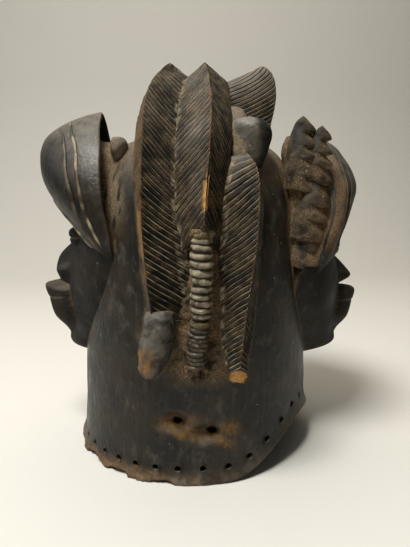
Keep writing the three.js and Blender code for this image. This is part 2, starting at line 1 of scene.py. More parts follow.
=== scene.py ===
"""Looks of a janus helmet mask: two heads, a comb of cut ridges and a hollow for the wearer's head, all
carved from one block of wood, blackened and polished by handling.

Every table is in millimetres in the carving frame: the heads look along -X and +X, the side that is
seen in front faces -Y, and Z is height above the table that the rim stands on.
"""

from __future__ import annotations

import logging
import math
from dataclasses import dataclass, field
from enum import Enum
from functools import partial

import bpy
import numpy as np
import openvdb
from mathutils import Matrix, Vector

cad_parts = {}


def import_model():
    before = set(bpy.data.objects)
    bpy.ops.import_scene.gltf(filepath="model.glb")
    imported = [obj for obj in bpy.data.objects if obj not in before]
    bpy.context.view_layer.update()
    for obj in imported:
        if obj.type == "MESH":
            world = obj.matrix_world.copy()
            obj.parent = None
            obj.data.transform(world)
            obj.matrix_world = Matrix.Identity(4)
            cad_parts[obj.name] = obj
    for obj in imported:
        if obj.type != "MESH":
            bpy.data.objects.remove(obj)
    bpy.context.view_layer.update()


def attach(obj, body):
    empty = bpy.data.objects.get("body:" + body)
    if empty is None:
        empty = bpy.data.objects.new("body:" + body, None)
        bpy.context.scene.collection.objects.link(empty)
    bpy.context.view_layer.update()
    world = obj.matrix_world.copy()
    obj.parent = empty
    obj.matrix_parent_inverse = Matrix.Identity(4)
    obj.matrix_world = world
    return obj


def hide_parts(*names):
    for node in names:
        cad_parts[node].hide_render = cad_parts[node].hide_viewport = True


Table = tuple[tuple[float, ...], ...]
Pair = tuple[float, float]
Triple = tuple[float, float, float]
Array = np.ndarray
Thing = bpy.types.Object
Tree = bpy.types.NodeTree
Socket = bpy.types.NodeSocket

log = logging.getLogger("helmet_mask")

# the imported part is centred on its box, the tables are centred on the wearer's head
CENTRING = np.array([5.854, -0.706, 0.0])
MILLIMETRE = 0.001
NODE = "helmet_mask"
# the comb is set a few degrees off square to the faces
COMB_TURN = -5.0
# angle between faces, in degrees, from which an edge stays hard
HARD_EDGE = 48.0


class Side(Enum):
    """Which way a head looks along X."""

    LEFT = -1
    RIGHT = 1


def along(table: Table, at: Array, column: int = 1) -> Array:
    """Smooth values through a short table.

    Args:
        table: rows of a station and its values, stations rising.
        at: stations to read, any shape.
        column: which value to read.

    Returns:
        The values, in the shape of at.
    """
    rows = np.asarray(table, float)
    x, y = rows[:, 0], rows[:, column]
    last = len(x) - 1
    order = np.arange(len(x))
    low, high = np.maximum(order - 1, 0), np.minimum(order + 1, last)
    slope = (y[high] - y[low]) / (x[high] - x[low])
    t = np.clip(np.asarray(at, float), x[0], x[-1])
    i = np.clip(np.searchsorted(x, t, side="right") - 1, 0, last - 1)
    h = x[i + 1] - x[i]
    s = (t - x[i]) / h
    return (
        (2 * s**3 - 3 * s**2 + 1) * y[i] + (s**3 - 2 * s**2 + s) * h * slope[i]
        + (-2 * s**3 + 3 * s**2) * y[i + 1] + (s**3 - s**2) * h * slope[i + 1]
    )


def squared(v: Array, power: float) -> Array:
    """Signed power of a cosine or sine, for a squared oval."""
    return np.sign(v) * np.abs(v) ** (2 / power)


def hump(v: Array) -> Array:
    """Smooth hump from 1 in the middle to 0 at v = 1 and beyond."""
    return np.cos(np.clip(np.abs(v), 0, 1) * math.pi / 2) ** 2


def ramp(v: Array, low: float, high: float) -> Array:
    """Smooth step from 0 at low to 1 at high."""
    s = np.clip((np.asarray(v, float) - low) / (high - low), 0, 1)
    return s * s * (3 - 2 * s)


def rough_at(points: Array, size: float, seed: int) -> Array:
    """Smooth random values from -1 to 1 that stay the same for the same place.

    Args:
        points: places in millimetres, the last axis is x, y, z.
        size: width of one bump in millimetres.
        seed: picks another pattern.

    Returns:
        One value for each place.
    """
    q = points / size
    base = np.floor(q).astype(np.int64)
    f = q - base
    f = f * f * (3 - 2 * f)
    total = np.zeros(points.shape[:-1])
    for dx in (0, 1):
        for dy in (0, 1):
            for dz in (0, 1):
                h = (base[..., 0] + dx) * 73856093 ^ (base[..., 1] + dy) * 19349663
                h = h ^ (base[..., 2] + dz) * 83492791 ^ (seed * 7919)
                h = (h ^ (h >> 13)) * 1274126177 & 0x7FFFFFFF
                value = ((h ^ (h >> 15)) & 0xFFFF) / 32767.5 - 1
                wx = f[..., 0] if dx else 1 - f[..., 0]
                wy = f[..., 1] if dy else 1 - f[..., 1]
                wz = f[..., 2] if dz else 1 - f[..., 2]
                total += value * wx * wy * wz
    return total


def turned(points: Array, degrees: float = COMB_TURN) -> Array:
    """Turns points about the upright axis, from the run of the comb into the carving frame.

    Args:
        points: places in millimetres.
        degrees: turn, seen from above.

    Returns:
        The turned places.
    """
    angle = math.radians(degrees)
    c, s = math.cos(angle), math.sin(angle)
    return points @ np.array([[c, s, 0.0], [-s, c, 0.0], [0.0, 0.0, 1.0]])


def normals_of(grid: Array, heart: Array) -> Array:
    """Unit normals of a grid of points.

    Args:
        grid: rows x columns x 3 points.
        heart: point inside, which the normals turn away from.

    Returns:
        One normal for each point.
    """
    n = np.cross(np.gradient(grid, axis=0), np.gradient(grid, axis=1))
    n /= np.maximum(np.linalg.norm(n, axis=-1, keepdims=True), 1e-9)
    if np.sum(n * (grid - heart)) < 0:
        n = -n
    return n


@dataclass
class Skin:
    """Closed skin in millimetres with a value at each point for what has happened to the wood there."""

    points: Array
    faces: list[Array]
    marks: dict[str, Array] = field(default_factory=dict)

    @staticmethod
    def lofted(rings: Array, marks: dict[str, Array] | None = None) -> "Skin":
        """Closed skin over rings of points, with a fan at each end.

        Args:
            rings: rows x columns x 3 points, each ring closed on itself.
            marks: rows x columns values by name.

        Returns:
            The skin with its faces turned outwards.
        """
        rows, columns = rings.shape[:2]
        index = np.arange(rows * columns).reshape(rows, columns)
        a, b = index[:-1], np.roll(index, -1, axis=1)[:-1]
        quads = np.stack([a, b, b + columns, a + columns], -1).reshape(-1, 4)
        points = np.vstack([rings.reshape(-1, 3), rings[0].mean(0), rings[-1].mean(0)])
        low, high = rows * columns, rows * columns + 1
        first, last = index[0], index[-1]
        fans = np.vstack([
            np.stack([np.full(columns, low), np.roll(first, -1), first], -1),
            np.stack([np.full(columns, high), last, np.roll(last, -1)], -1),
        ])
        p = points[quads]
        volume = np.sum(p[:, 0] * np.cross(p[:, 1], p[:, 2])) + np.sum(p[:, 0] * np.cross(p[:, 2], p[:, 3]))
        if volume < 0:
            quads, fans = quads[:, ::-1], fans[:, ::-1]
        kept = {
            name: np.concatenate([value.ravel(), [value[0].mean(), value[-1].mean()]])
            for name, value in (marks or {}).items()
        }
        return Skin(points, [quads, fans], kept)

    @staticmethod
    def joined(skins: list["Skin"]) -> "Skin":
        """Puts several skins in one, each still closed.

        Args:
            skins: the skins in order.

        Returns:
            One skin, where a mark that a skin doesn't have is 0.
        """
        names = {name for skin in skins for name in skin.marks}
        start, faces = 0, []
        for skin in skins:
            faces += [f + start for f in skin.faces]
            start += len(skin.points)
        marks = {
            name: np.concatenate([skin.marks.get(name, np.zeros(len(skin.points))) for skin in skins])
            for name in names
        }
        return Skin(np.vstack([skin.points for skin in skins]), faces, marks)

    @staticmethod
    def of(thing: Thing) -> "Skin":
        """Takes the mesh of an object.

        Args:
            thing: the object, which is removed.

        Returns:
            Its skin without marks.
        """
        faces = [np.array([list(p.vertices)]) for p in thing.data.polygons]
        points = places_of(thing)
        bpy.data.objects.remove(thing)
        return Skin(points, faces)

    def to_object(self, name: str) -> Thing:
        """Makes a mesh of this skin, in metres in the part's frame.

        Args:
            name: name of the piece.

        Returns:
            The object with its marks.
        """
        mesh = bpy.data.meshes.new(name)
        polygons = [row for block in self.faces for row in block.tolist()]
        mesh.from_pydata(((self.points + CENTRING) * MILLIMETRE).tolist(), [], polygons)
        thing = linked_object(name, mesh)
        for mark, value in self.marks.items():
            set_mark(thing, mark, value)
        return thing


def linked_object(name: str, data: bpy.types.ID) -> Thing:
    """Puts a new object in the scene.

    Args:
        name: its name.
        data: its mesh, light or camera.

    Returns:
        The object.
    """
    thing = bpy.data.objects.new(name, data)
    bpy.context.scene.collection.objects.link(thing)
    return thing


def places_of(thing: Thing) -> Array:
    """Reads the points of a finished object.

    Args:
        thing: a mesh object.

    Returns:
        Its points in the carving frame, millimetres.
    """
    co = np.zeros(len(thing.data.vertices) * 3, np.float32)
    thing.data.vertices.foreach_get("co", co)
    return co.reshape(-1, 3).astype(float) / MILLIMETRE - CENTRING


def set_mark(thing: Thing, name: str, value: Array) -> None:
    """Writes a value for each point of a mesh, in place of one of that name."""
    layer = thing.data.attributes.get(name) or thing.data.attributes.new(name, "FLOAT", "POINT")
    layer.data.foreach_set("value", np.ascontiguousarray(value, dtype=np.float32))


def finished_mesh(thing: Thing) -> Thing:
    """Turns an object with modifiers into a plain mesh.

    Args:
        thing: the object, which is removed.

    Returns:
        A mesh object of the same name, without modifiers.
    """
    graph = bpy.context.evaluated_depsgraph_get()
    mesh = bpy.data.meshes.new_from_object(thing.evaluated_get(graph))
    name = thing.name
    bpy.data.objects.remove(thing)
    mesh.name = name
    return linked_object(name, mesh)


def tree_node(
    tree: Tree, kind: str, settings: dict[str | int, object] | None = None,
    links: dict[str | int, Socket] | None = None,
) -> bpy.types.Node:
    """Adds a node to a tree.

    Args:
        tree: shader or geometry tree.
        kind: Blender's name of the node type.
        settings: attributes and, by socket name or number, input values.
        links: sockets to join, by input name or number.

    Returns:
        The node.
    """
    node = tree.nodes.new(kind)
    for key, value in (settings or {}).items():
        if isinstance(key, str) and hasattr(node, key):
            setattr(node, key, value)
        else:
            node.inputs[key].default_value = value
    for key, socket in (links or {}).items():
        tree.links.new(socket, node.inputs[key])
    return node


@dataclass
class TreeInputs:
    """Input node of a geometry tree and the identifier of each named input."""

    node: bpy.types.Node
    sockets: dict[str, str]


def geometry_tree(
    name: str, lengths: tuple[str, ...], counts: tuple[str, ...] = (),
) -> tuple[Tree, TreeInputs]:
    """Starts a geometry tree with named inputs.

    Args:
        name: what the tree makes.
        lengths: names of its inputs that are lengths, in metres.
        counts: names of its inputs that are whole numbers.

    Returns:
        The tree and its inputs.
    """
    tree = bpy.data.node_groups.new(name, "GeometryNodeTree")
    tree.interface.new_socket("Geometry", in_out="INPUT", socket_type="NodeSocketGeometry")
    sockets = {}
    for names, kind in ((lengths, "NodeSocketFloat"), (counts, "NodeSocketInt")):
        for label in names:
            sockets[label] = tree.interface.new_socket(label, in_out="INPUT", socket_type=kind).identifier
    tree.interface.new_socket("Geometry", in_out="OUTPUT", socket_type="NodeSocketGeometry")
    return tree, TreeInputs(tree_node(tree, "NodeGroupInput"), sockets)


def close_tree(tree: Tree, made: Socket) -> None:
    """Ends a geometry tree: instances made real, then the material.

    Args:
        tree: the tree.
        made: geometry that it ends with.
    """
    real = tree_node(tree, "GeometryNodeRealizeInstances", {}, {0: made})
    dressed = tree_node(tree, "GeometryNodeSetMaterial", {}, {0: real.outputs[0]})
    tree_node(tree, "NodeGroupOutput", {}, {0: dressed.outputs[0]})


def run_tree(
    thing: Thing, tree: Tree, inputs: TreeInputs, values: dict[str, float],
) -> Thing:
    """Runs a geometry tree on an object.

    Args:
        thing: object that the tree starts from, which is removed.
        tree: the tree.
        inputs: its inputs.
        values: input values by name.

    Returns:
        The result as a plain mesh object.
    """
    setup = thing.modifiers.new(tree.name, "NODES")
    setup.node_group = tree
    for label, value in values.items():
        setup[inputs.sockets[label]] = value
    return finished_mesh(thing)


def linear(hex_colour: str) -> tuple[float, float, float, float]:
    """Turns an sRGB hex colour to a linear one.

    Args:
        hex_colour: six digits after a hash.

    Returns:
        Red, green and blue, then an alpha of 1.
    """
    parts = [int(hex_colour.lstrip("#")[i:i + 2], 16) / 255 for i in (0, 2, 4)]
    r, g, b = (c / 12.92 if c <= 0.04045 else ((c + 0.055) / 1.055) ** 2.4 for c in parts)
    return (r, g, b, 1.0)


@dataclass(frozen=True)
class BlackenedWood:
    """Carved hardwood, smoked and oiled black, polished by hands where it stands out.

    The patina gives a brown-black body with a soft grey gloss. Pale dust lies in the cut lines, and the same
    pale colour paints highlights on their lower lips, on ring crests and on hair lines. Tan dirt lies in
    hollows, and a grey film of dust and painted sheen on what faces up. The black of soot also paints shade
    in grooves, clefts and holes, under the hoods and on sides turned from the light. Edges are rubbed brown
    and breaks show straw-coloured wood.
    """

    name: str = "blackened_hardwood"
    body: str = "#120f09"
    body_warm: str = "#20180e"
    body_grey: str = "#2d291c"
    # near black of soot and of painted shade
    soot_and_shade: str = "#080604"
    # grey of settled dust and of painted sheen
    film: str = "#7d776b"
    dirt: str = "#9d8763"
    mud: str = "#5e4426"
    # pale dust, also used for painted highlights on cut lines, ring crests and hair lines
    dust_and_highlight: str = "#cdbf9f"
    rubbed: str = "#63482b"
    ochre: str = "#8f6c38"
    bare: str = "#d9ab66"
    bare_dark: str = "#a0713a"
    raw: str = "#59432b"
    polish: float = 0.33
    matt: float = 0.56
    dull: float = 0.86
    # pores of such wood are about 0.2 mm wide, drawn wider because they would be too fine to show
    grain_mm: float = 1.3
    grain_run: float = 26.0
    # facets left by a small adze, as wide as real ones
    tool_mm: float = 5.0
    tool_run: float = 14.0
    # smears of handling and clouds of smoke, as wide as real ones
    smear_mm: float = 9.0
    smear_run: float = 1.6
    cloud_mm: float = 30.0
    # grains of dirt are under 0.5 mm, drawn coarser to show
    crumb_mm: float = 1.2
    # distance between specks, of which about one in seven is kept, each about 1 mm wide
    speck_mm: float = 7.5

    def material(self) -> bpy.types.Material:
        """Builds the node material, patterns on object coordinates in metres.

        Returns:
            The wood.
        """
        made = bpy.data.materials.new(self.name)
        made.use_nodes = True
        tree = made.node_tree
        tree.nodes.clear()
        add = partial(tree_node, tree)
        place = add("ShaderNodeTexCoord").outputs["Object"]
        mark = {
            name: add("ShaderNodeAttribute", {"attribute_name": name}).outputs["Fac"]
            for name in ("recess", "edge", "cut", "worn", "bare", "inside", "dusty", "ochre", "black", "film")
        }

        def pattern(size_mm: float, detail: float, run: float = 1.0, rough: float = 0.55) -> Socket:
            """Noise whose bumps are size_mm wide and run times as long up the block."""
            spread = add("ShaderNodeMapping", {"Scale": (1.0, 1.0, 1.0 / run)}, {"Vector": place})
            return add(
                "ShaderNodeTexNoise",
                {"Scale": 1.0 / (size_mm * MILLIMETRE), "Detail": detail, "Roughness": rough},
                {"Vector": spread.outputs[0]},
            ).outputs["Fac"]

        def between(
            value: Socket, low: float, high: float, at_low: float = 0.0, at_high: float = 1.0,
        ) -> Socket:
            """Remaps a value, held at both ends."""
            return add(
                "ShaderNodeMapRange", {1: low, 2: high, 3: at_low, 4: at_high}, {0: value},
            ).outputs[0]

        def sums(kind: str, a: Socket, b: Socket | float) -> Socket:
            """Adds one step of arithmetic.

            Args:
                kind: Blender's name of the operation.
                a: first value.
                b: second value.

            Returns:
                The result, held between 0 and 1.
            """
            node = add("ShaderNodeMath", {"operation": kind, "use_clamp": True}, {0: a})
            if isinstance(b, float):
                node.inputs[1].default_value = b
            else:
                tree.links.new(b, node.inputs[1])
            return node.outputs[0]

        def times(a: Socket, b: Socket | float) -> Socket:
            """Product of two values."""
            return sums("MULTIPLY", a, b)

        def blend(share: Socket, a: Socket | str, b: Socket | str) -> Socket:
            """Lays one colour over another.

            Args:
                share: share of the second.
                a: first colour.
                b: second colour.

            Returns:
                The mixed colour.
            """
            node = add("ShaderNodeMix", {"data_type": "RGBA"}, {0: share})
            for slot, colour in ((6, a), (7, b)):
                if isinstance(colour, str):
                    node.inputs[slot].default_value = linear(colour)
                else:
                    tree.links.new(colour, node.inputs[slot])
            return node.outputs[2]

        clouds = pattern(self.cloud_mm, 3.0)
        smears = pattern(self.smear_mm, 5.0, self.smear_run, 0.65)
        tools = pattern(self.tool_mm, 2.0, self.tool_run)
        grain = pattern(self.grain_mm, 3.0, self.grain_run)
        crumbs = pattern(self.crumb_mm, 4.0, rough=0.7)
        facing = add("ShaderNodeNewGeometry").outputs["Normal"]
        upward = add("ShaderNodeSeparateXYZ", {}, {0: facing}).outputs["Z"]

        colour = blend(between(clouds, 0.36, 0.64), self.body, self.body_warm)
        colour = blend(times(between(tools, 0.45, 0.70), 0.55), colour, self.body_grey)
        colour = blend(times(between(grain, 0.50, 0.72), 0.5), colour, self.soot_and_shade)
        colour = blend(times(between(clouds, 0.58, 0.40), 0.65), colour, self.soot_and_shade)
        # the black mark lays soot and painted shade: grooves, clefts, holes, faces under the hoods, sides
        # turned from the light
        colour = blend(times(mark["black"], 0.85), colour, self.soot_and_shade)
        # grey film of dust and painted sheen, most on what faces up and kept off the black
        film = sums("MAXIMUM", between(upward, 0.10, 0.85), mark["film"])
        film = times(film, between(smears, 0.30, 0.66, 0.2, 0.85))
        film = sums("MAXIMUM", film, between(smears, 0.52, 0.70, 0.0, 0.32))
        film = sums("ADD", times(film, 0.62), times(mark["film"], 0.3))
        film = times(film, between(mark["black"], 0.2, 1.0, 1.0, 0.15))
        colour = blend(film, colour, self.film)

        worn = times(mark["worn"], between(smears, 0.34, 0.60, 0.15, 1.0))
        edges = times(mark["edge"], between(crumbs, 0.42, 0.66, 0.0, 0.45))
        colour = blend(sums("MAXIMUM", worn, edges), colour, self.rubbed)
        ground = times(mark["recess"], between(smears, 0.34, 0.62, 0.25, 0.85))
        ground = times(ground, between(mark["black"], 0.0, 1.0, 1.0, 0.25))
        dusty = times(mark["dusty"], between(crumbs, 0.34, 0.60, 0.35, 1.0))
        ground = sums("MAXIMUM", ground, dusty)
        colour = blend(ground, colour, blend(between(crumbs, 0.42, 0.62), self.mud, self.dirt))
        ochre = times(mark["ochre"], between(smears, 0.30, 0.55, 0.25, 1.0))
        ochre = times(ochre, between(crumbs, 0.36, 0.56, 0.35, 1.0))
        colour = blend(ochre, colour, self.ochre)
        # pale dust and painted highlights along the cut mark
        lines = times(mark["cut"], between(smears, 0.30, 0.52, 0.45, 1.0))
        colour = blend(lines, colour, self.dust_and_highlight)
        bare = times(mark["bare"], between(smears, 0.22, 0.34, 0.7, 1.0))
        colour = blend(bare, colour, blend(between(grain, 0.40, 0.62), self.bare, self.bare_dark))
        colour = blend(mark["inside"], colour, blend(between(tools, 0.4, 0.64), self.raw, self.body_warm))
        specks = add(
            "ShaderNodeTexVoronoi", {"Scale": 1.0 / (self.speck_mm * MILLIMETRE)}, {"Vector": place},
        )
        chosen = add("ShaderNodeSeparateXYZ", {}, {0: specks.outputs["Color"]}).outputs["X"]
        near = between(specks.outputs["Distance"], 0.075, 0.055)
        speck = times(near, between(chosen, 0.84, 0.86))
        colour = blend(times(speck, 0.7), colour, self.dust_and_highlight)

        dulled = sums("MAXIMUM", sums("MAXIMUM", ground, lines), sums("MAXIMUM", bare, mark["inside"]))
        dulled = sums("MAXIMUM", dulled, sums("MAXIMUM", ochre, mark["black"]))
        gloss = between(smears, 0.32, 0.68, self.polish, self.matt)
        rough = add(
            "ShaderNodeMix", {"data_type": "FLOAT", 3: self.dull}, {0: dulled, 2: gloss},
        ).outputs[0]

        relief = sums("ADD", times(between(grain, 0.45, 0.75), 0.3), times(tools, 0.25))
        relief = sums("SUBTRACT", relief, times(crumbs, 0.45))
        bumps = add("ShaderNodeBump", {"Strength": 0.6, "Distance": 0.0008}, {"Height": relief})
        crust = times(crumbs, dulled)
        rough_bumps = add(
            "ShaderNodeBump", {"Strength": 1.0, "Distance": 0.0016},
            {"Height": crust, "Normal": bumps.outputs[0]},
        )
        swell = add(
            "ShaderNodeBump", {"Strength": 0.5, "Distance": 0.0022},
            {"Height": smears, "Normal": rough_bumps.outputs[0]},
        )
        shader = add(
            "ShaderNodeBsdfPrincipled",
            {"IOR": 1.5, "Metallic": 0.0, "Coat Weight": 0.0},
            {"Base Color": colour, "Roughness": rough, "Normal": swell.outputs[0],
             "Specular IOR Level": between(mark["black"], 0.2, 1.0, 0.32, 0.12)},
        )
        add("ShaderNodeOutputMaterial", {}, {"Surface": shader.outputs[0]})
        return made


@dataclass(frozen=True)
class PaleFloor:
    """Plain matt off-white floor, so the dark wood reads against it."""

    name: str = "pale_floor"
    colour: str = "#cfcdc6"
    roughness: float = 0.9

    def material(self) -> bpy.types.Material:
        """Builds the node material.

        Returns:
            The floor's material.
        """
        made = bpy.data.materials.new(self.name)
        made.use_nodes = True
        shader = made.node_tree.nodes["Principled BSDF"]
        shader.inputs["Base Color"].default_value = linear(self.colour)
        shader.inputs["Roughness"].default_value = self.roughness
        return made


@dataclass
class Wall:
    """The block around the wearer's head: wall, dome, rim, hollow and the holes through it."""

    name: str = "wall_and_hollow"
    centre_x: float = -15.0
    half_x: Table = (
        (0, 117.5), (10, 115.5), (40, 113), (90, 111), (150, 106), (200, 101), (240, 97), (262, 91),
        (280, 80), (291, 61), (296.5, 34), (298, 8),
    )
    half_y: Table = (
        (0, 113), (10, 111.5), (40, 110), (90, 108), (150, 106), (200, 102), (240, 96), (262, 88),
        (280, 74), (291, 55), (296.5, 30), (298, 8),
    )
    top: float = 298.0
    squareness: float = 2.15
    flare: float = 3.5
    flare_height: float = 14.0
    # height over which the unevenness of the foot fades out
    rim_blend: float = 90.0
    # height above the foot, how far the edge is rounded in there
    rounding: Table = ((0.0, 3.0), (0.25, 1.7), (0.9, 0.75), (1.8, 0.2), (3.0, 0.0))
    # points of a ring, and how they bunch on the side seen in front
    columns: int = 440
    spacing: Pair = (0.55, 0.45)
    # angle of the highest place of the rim, run before and after it in degrees, rise
    sweep: tuple[float, float, float, float] = (-36, 48, 78, 40)
    # angle of the middle of the frayed stretch of the rim
    frayed_at: float = -135.0
    # angle, half angle, height lost
    chips: Table = ((-106, 5, 2.5), (-128, 6, 3.5), (-146, 7, 4), (-163, 5, 3), (62, 9, 3), (122, 8, 4))
    hollow_half: Pair = (103.0, 99.0)
    hollow_taper: float = 15.0
    hollow_top: float = 276.0
    hollow_shoulder: float = 150.0
    rim_holes: int = 38
    rim_hole_radius: float = 2.75
    rim_hole_height: float = 13.0
    rim_hole_first: float = -90.5
    # x and height of each hole, then its worn funnel: offset x, offset z, half width, half height, depth
    tie_holes: Table = ((-37, 52.5, -7, 1, 15, 9.5, 5.5), (-8, 44, -7, -2, 14, 9, 5.0))
    tie_hole_radius: float = 3.9
    tie_hole_stretch: float = 0.85
    tie_hole_forward: float = 108.0
    # half length of the cutters of the rim holes and of the tie holes, and how many sides they have
    cutter_reach: Pair = (22.0, 24.0)
    cutter_sides: int = 20
    # wood behind the left hood: x and half run, height from and to
    behind_hood: tuple[float, float, float, float] = (-97.0, 24.0, 196.0, 240.0)
    # rough ground left between the plait and the ridges: x and half run, height from and to
    ground: tuple[float, float, float, float] = (-20.0, 30.0, 88.0, 215.0)
    heart_height: float = 175.0

    def halves(self, z: Array) -> tuple[Array, Array]:
        """Half widths of the wall along X and Y at a height."""
        return along(self.half_x, z), along(self.half_y, z)

    def share(self, points: Array) -> Array:
        """Tells how far out in the wall places lie.

        Args:
            points: places in the carving frame.

        Returns:
            1 on the outside of the wall, less inside, 10 above the dome.
        """
        a, b = self.halves(points[..., 2])
        n = self.squareness
        across, deep = np.abs((points[..., 0] - self.centre_x) / a), np.abs(points[..., 1] / b)
        value = (across**n + deep**n) ** (1 / n)
        return np.where(points[..., 2] > self.top, 10.0, value)

    def tucked(self, points: Array, depth: float = 7.0, all_points: bool = False) -> Array:
        """Brings deep points up to a depth under the outside, so none reaches the hollow.

        Args:
            points: places in the carving frame.
            depth: millimetres under the outside.
            all_points: also brings down points that stand out of the block.

        Returns:
            The moved places.
        """
        heart = np.stack([
            np.full(points.shape[:-1], self.centre_x), np.zeros(points.shape[:-1]),
            np.minimum(points[..., 2], self.heart_height),
        ], -1)
        ray = points - heart
        length = np.maximum(np.linalg.norm(ray, axis=-1), 1e-6)
        low, high = np.full(length.shape, 0.02), 400.0 / length
        for _ in range(26):
            middle = (low + high) / 2
            inside = self.share(heart + ray * middle[..., None]) < 1
            low, high = np.where(inside, middle, low), np.where(inside, high, middle)
        under = length * (low - 1)
        moved = heart + ray * (low - depth / length)[..., None]
        return np.where(((under > depth) | all_points)[..., None], moved, points)

    def rise(self, degrees: Array) -> Array:
        """Rise of the rim and its holes, at angles, on the side where it runs up."""
        off = (degrees - self.sweep[0] + 540) % 360 - 180
        return self.sweep[3] * hump(off / np.where(off < 0, self.sweep[1], self.sweep[2]))

    def foot(self, degrees: Array) -> Array:
        """Height of the foot of the rim, raised where it is broken and nibbled.

        Args:
            degrees: angles round the wall.

        Returns:
            Height at each angle.
        """
        lost = np.zeros_like(degrees)
        for middle, half, height in self.chips:
            off = np.abs((degrees - middle + 540) % 360 - 180) / half
            lost = np.maximum(lost, height * np.sqrt(np.clip(1 - off**2, 0, 1)))
        ring = np.stack([degrees, degrees * 0, degrees * 0], -1)
        nibble = 0.6 * np.clip(rough_at(ring, 1.9, 3) + 0.2, 0, 1)
        nibble += 1.1 * np.clip(rough_at(ring, 5.0, 4) - 0.1, 0, 1)
        frayed = 0.25 + 0.75 * hump((degrees - self.frayed_at) / 60)
        return self.rise(degrees) + lost + nibble * frayed

    def worn_inset(self, points: Array, degrees: Array, height: Array) -> Array:
        """How far the outside is worn in: funnels round the tie holes, frayed rim, tool marks.

        Args:
            points: places on the outside.
            degrees: their angles.
            height: their heights above the foot.

        Returns:
            Depth at each place, millimetres.
        """
        inset = 0.35 * rough_at(points, 31.0, 11) + 0.22 * rough_at(points, 13.0, 12)
        front = points[..., 1] < 0
        for x, z, dx, dz, wide, high, depth in self.tie_holes:
            off = np.hypot((points[..., 0] - x - dx) / wide, (points[..., 2] - z - dz) / high)
            core = np.hypot((points[..., 0] - x) / 9.5, (points[..., 2] - z) / 7.0)
            inset = inset + np.where(front, depth * hump(off / 1.35) + 2.4 * hump(core / 1.5), 0)
        patch = np.hypot((points[..., 0] + 20) / 46, (points[..., 2] - 47) / 19)
        inset = inset + np.where(front, hump(patch) * (1.1 + 0.6 * rough_at(points, 4.0, 13)), 0)
        frayed = hump((degrees - self.frayed_at) / 62) * (1 - ramp(height, 1.0, 13.0))
        crumble = np.clip(rough_at(points, 6.5, 14) + 0.3, 0, 1) * 1.8
        crumble = crumble + 0.5 * rough_at(points, 2.2, 15)
        lumps = rough_at(points, 6.0, 16) + 0.7 * rough_at(points, 3.0, 17)
        return inset + frayed * crumble - self.on_ground(points) * (0.9 + 1.7 * lumps)

    def on_ground(self, points: Array) -> Array:
        """Finds the rough ground between the plait and the ridges.

        Args:
            points: places in the carving frame.

        Returns:
            1 on it, 0 away from it.
        """
        middle, run, low, high = self.ground
        across = hump((points[..., 0] - middle) / run) ** 0.5
        up = ramp(points[..., 2], low - 8, low + 12) * (1 - ramp(points[..., 2], high, high + 30))
        return np.where(points[..., 1] < 0, across * up, 0)

    def angles(self) -> Array:
        """Angles of the points of a ring in degrees, closest together on the side seen in front."""
        span = np.linspace(-1, 1, self.columns, endpoint=False)
        return -90 + 180 * span * (self.spacing[0] + self.spacing[1] * span**2)

    def levels(self) -> list[float]:
        """Spaces the rings of the outside, closest together at the foot and over the dome.

        Returns:
            Their heights.
        """
        levels = [z for z, _ in self.rounding]
        # height from and to, step
        for low, high, step in ((4.1, 27, 1.1), (28.5, 76, 1.4), (77.6, 236, 1.9)):
            levels += list(np.arange(low, high, step))
        return levels + list(236 + 62 * np.sin(np.linspace(0, 90, 30) * math.pi / 180))

    def outside(self) -> Array:
        """Shapes the outside of the wall and the dome.

        Returns:
            Rings from the foot of the rim to the crown.
        """
        degrees = self.angles()
        turn = np.radians(degrees)
        insets = [i for _, i in self.rounding]
        lost = self.foot(degrees)
        rings = []
        for row, level in enumerate(self.levels()):
            z = level + lost * max(0.0, 1 - level / self.rim_blend)
            flare = self.flare * np.maximum(0, 1 - (z - self.rise(degrees)) / self.flare_height) ** 2
            a, b = self.halves(z)
            edge = insets[row] if row < len(insets) else 0.0
            across, deep = squared(np.cos(turn), self.squareness), squared(np.sin(turn), self.squareness)
            ring = np.stack([self.centre_x + (a + flare) * across, (b + flare) * deep, z], -1)
            inset = edge + self.worn_inset(ring, degrees, z - lost) * float(1 - ramp(level, 262, 296))
            out = np.stack([ring[:, 0] - self.centre_x, ring[:, 1], ring[:, 2] * 0], -1)
            out /= np.linalg.norm(out, axis=-1, keepdims=True)
            rings.append(ring - out * inset[:, None])
        return np.array(rings)

    def hollow(self) -> Array:
        """Shapes the hollow for the wearer's head.

        Returns:
            Rings from its crown down to the foot of the rim.
        """
        degrees = self.angles()
        turn = np.radians(degrees)
        lost = self.foot(degrees)
        rings = []
        for share in np.linspace(1, 0, 26):
            level = self.hollow_top * math.sin(share * math.pi / 2)
            above = max(0.0, level - self.hollow_shoulder) / (self.hollow_top - self.hollow_shoulder + 0.4)
            dome = math.sqrt(max(0.004, 1 - above**2.2))
            taper = self.hollow_taper * level / self.hollow_top
            z = level + lost * max(0.0, 1 - level / self.rim_blend)
            ring = np.stack([
                self.centre_x + (self.hollow_half[0] - taper) * dome * squared(np.cos(turn), self.squareness),
                (self.hollow_half[1] - taper) * dome * squared(np.sin(turn), self.squareness),
                z,
            ], -1)
            out = np.stack([ring[:, 0] - self.centre_x, ring[:, 1], z * 0], -1)
            out /= np.linalg.norm(out, axis=-1, keepdims=True)
            uneven = 0.9 * rough_at(ring, 17.0, 21) + 0.5 * rough_at(ring, 7.0, 22)
            rings.append(ring + out * uneven[:, None])
        return np.array(rings)

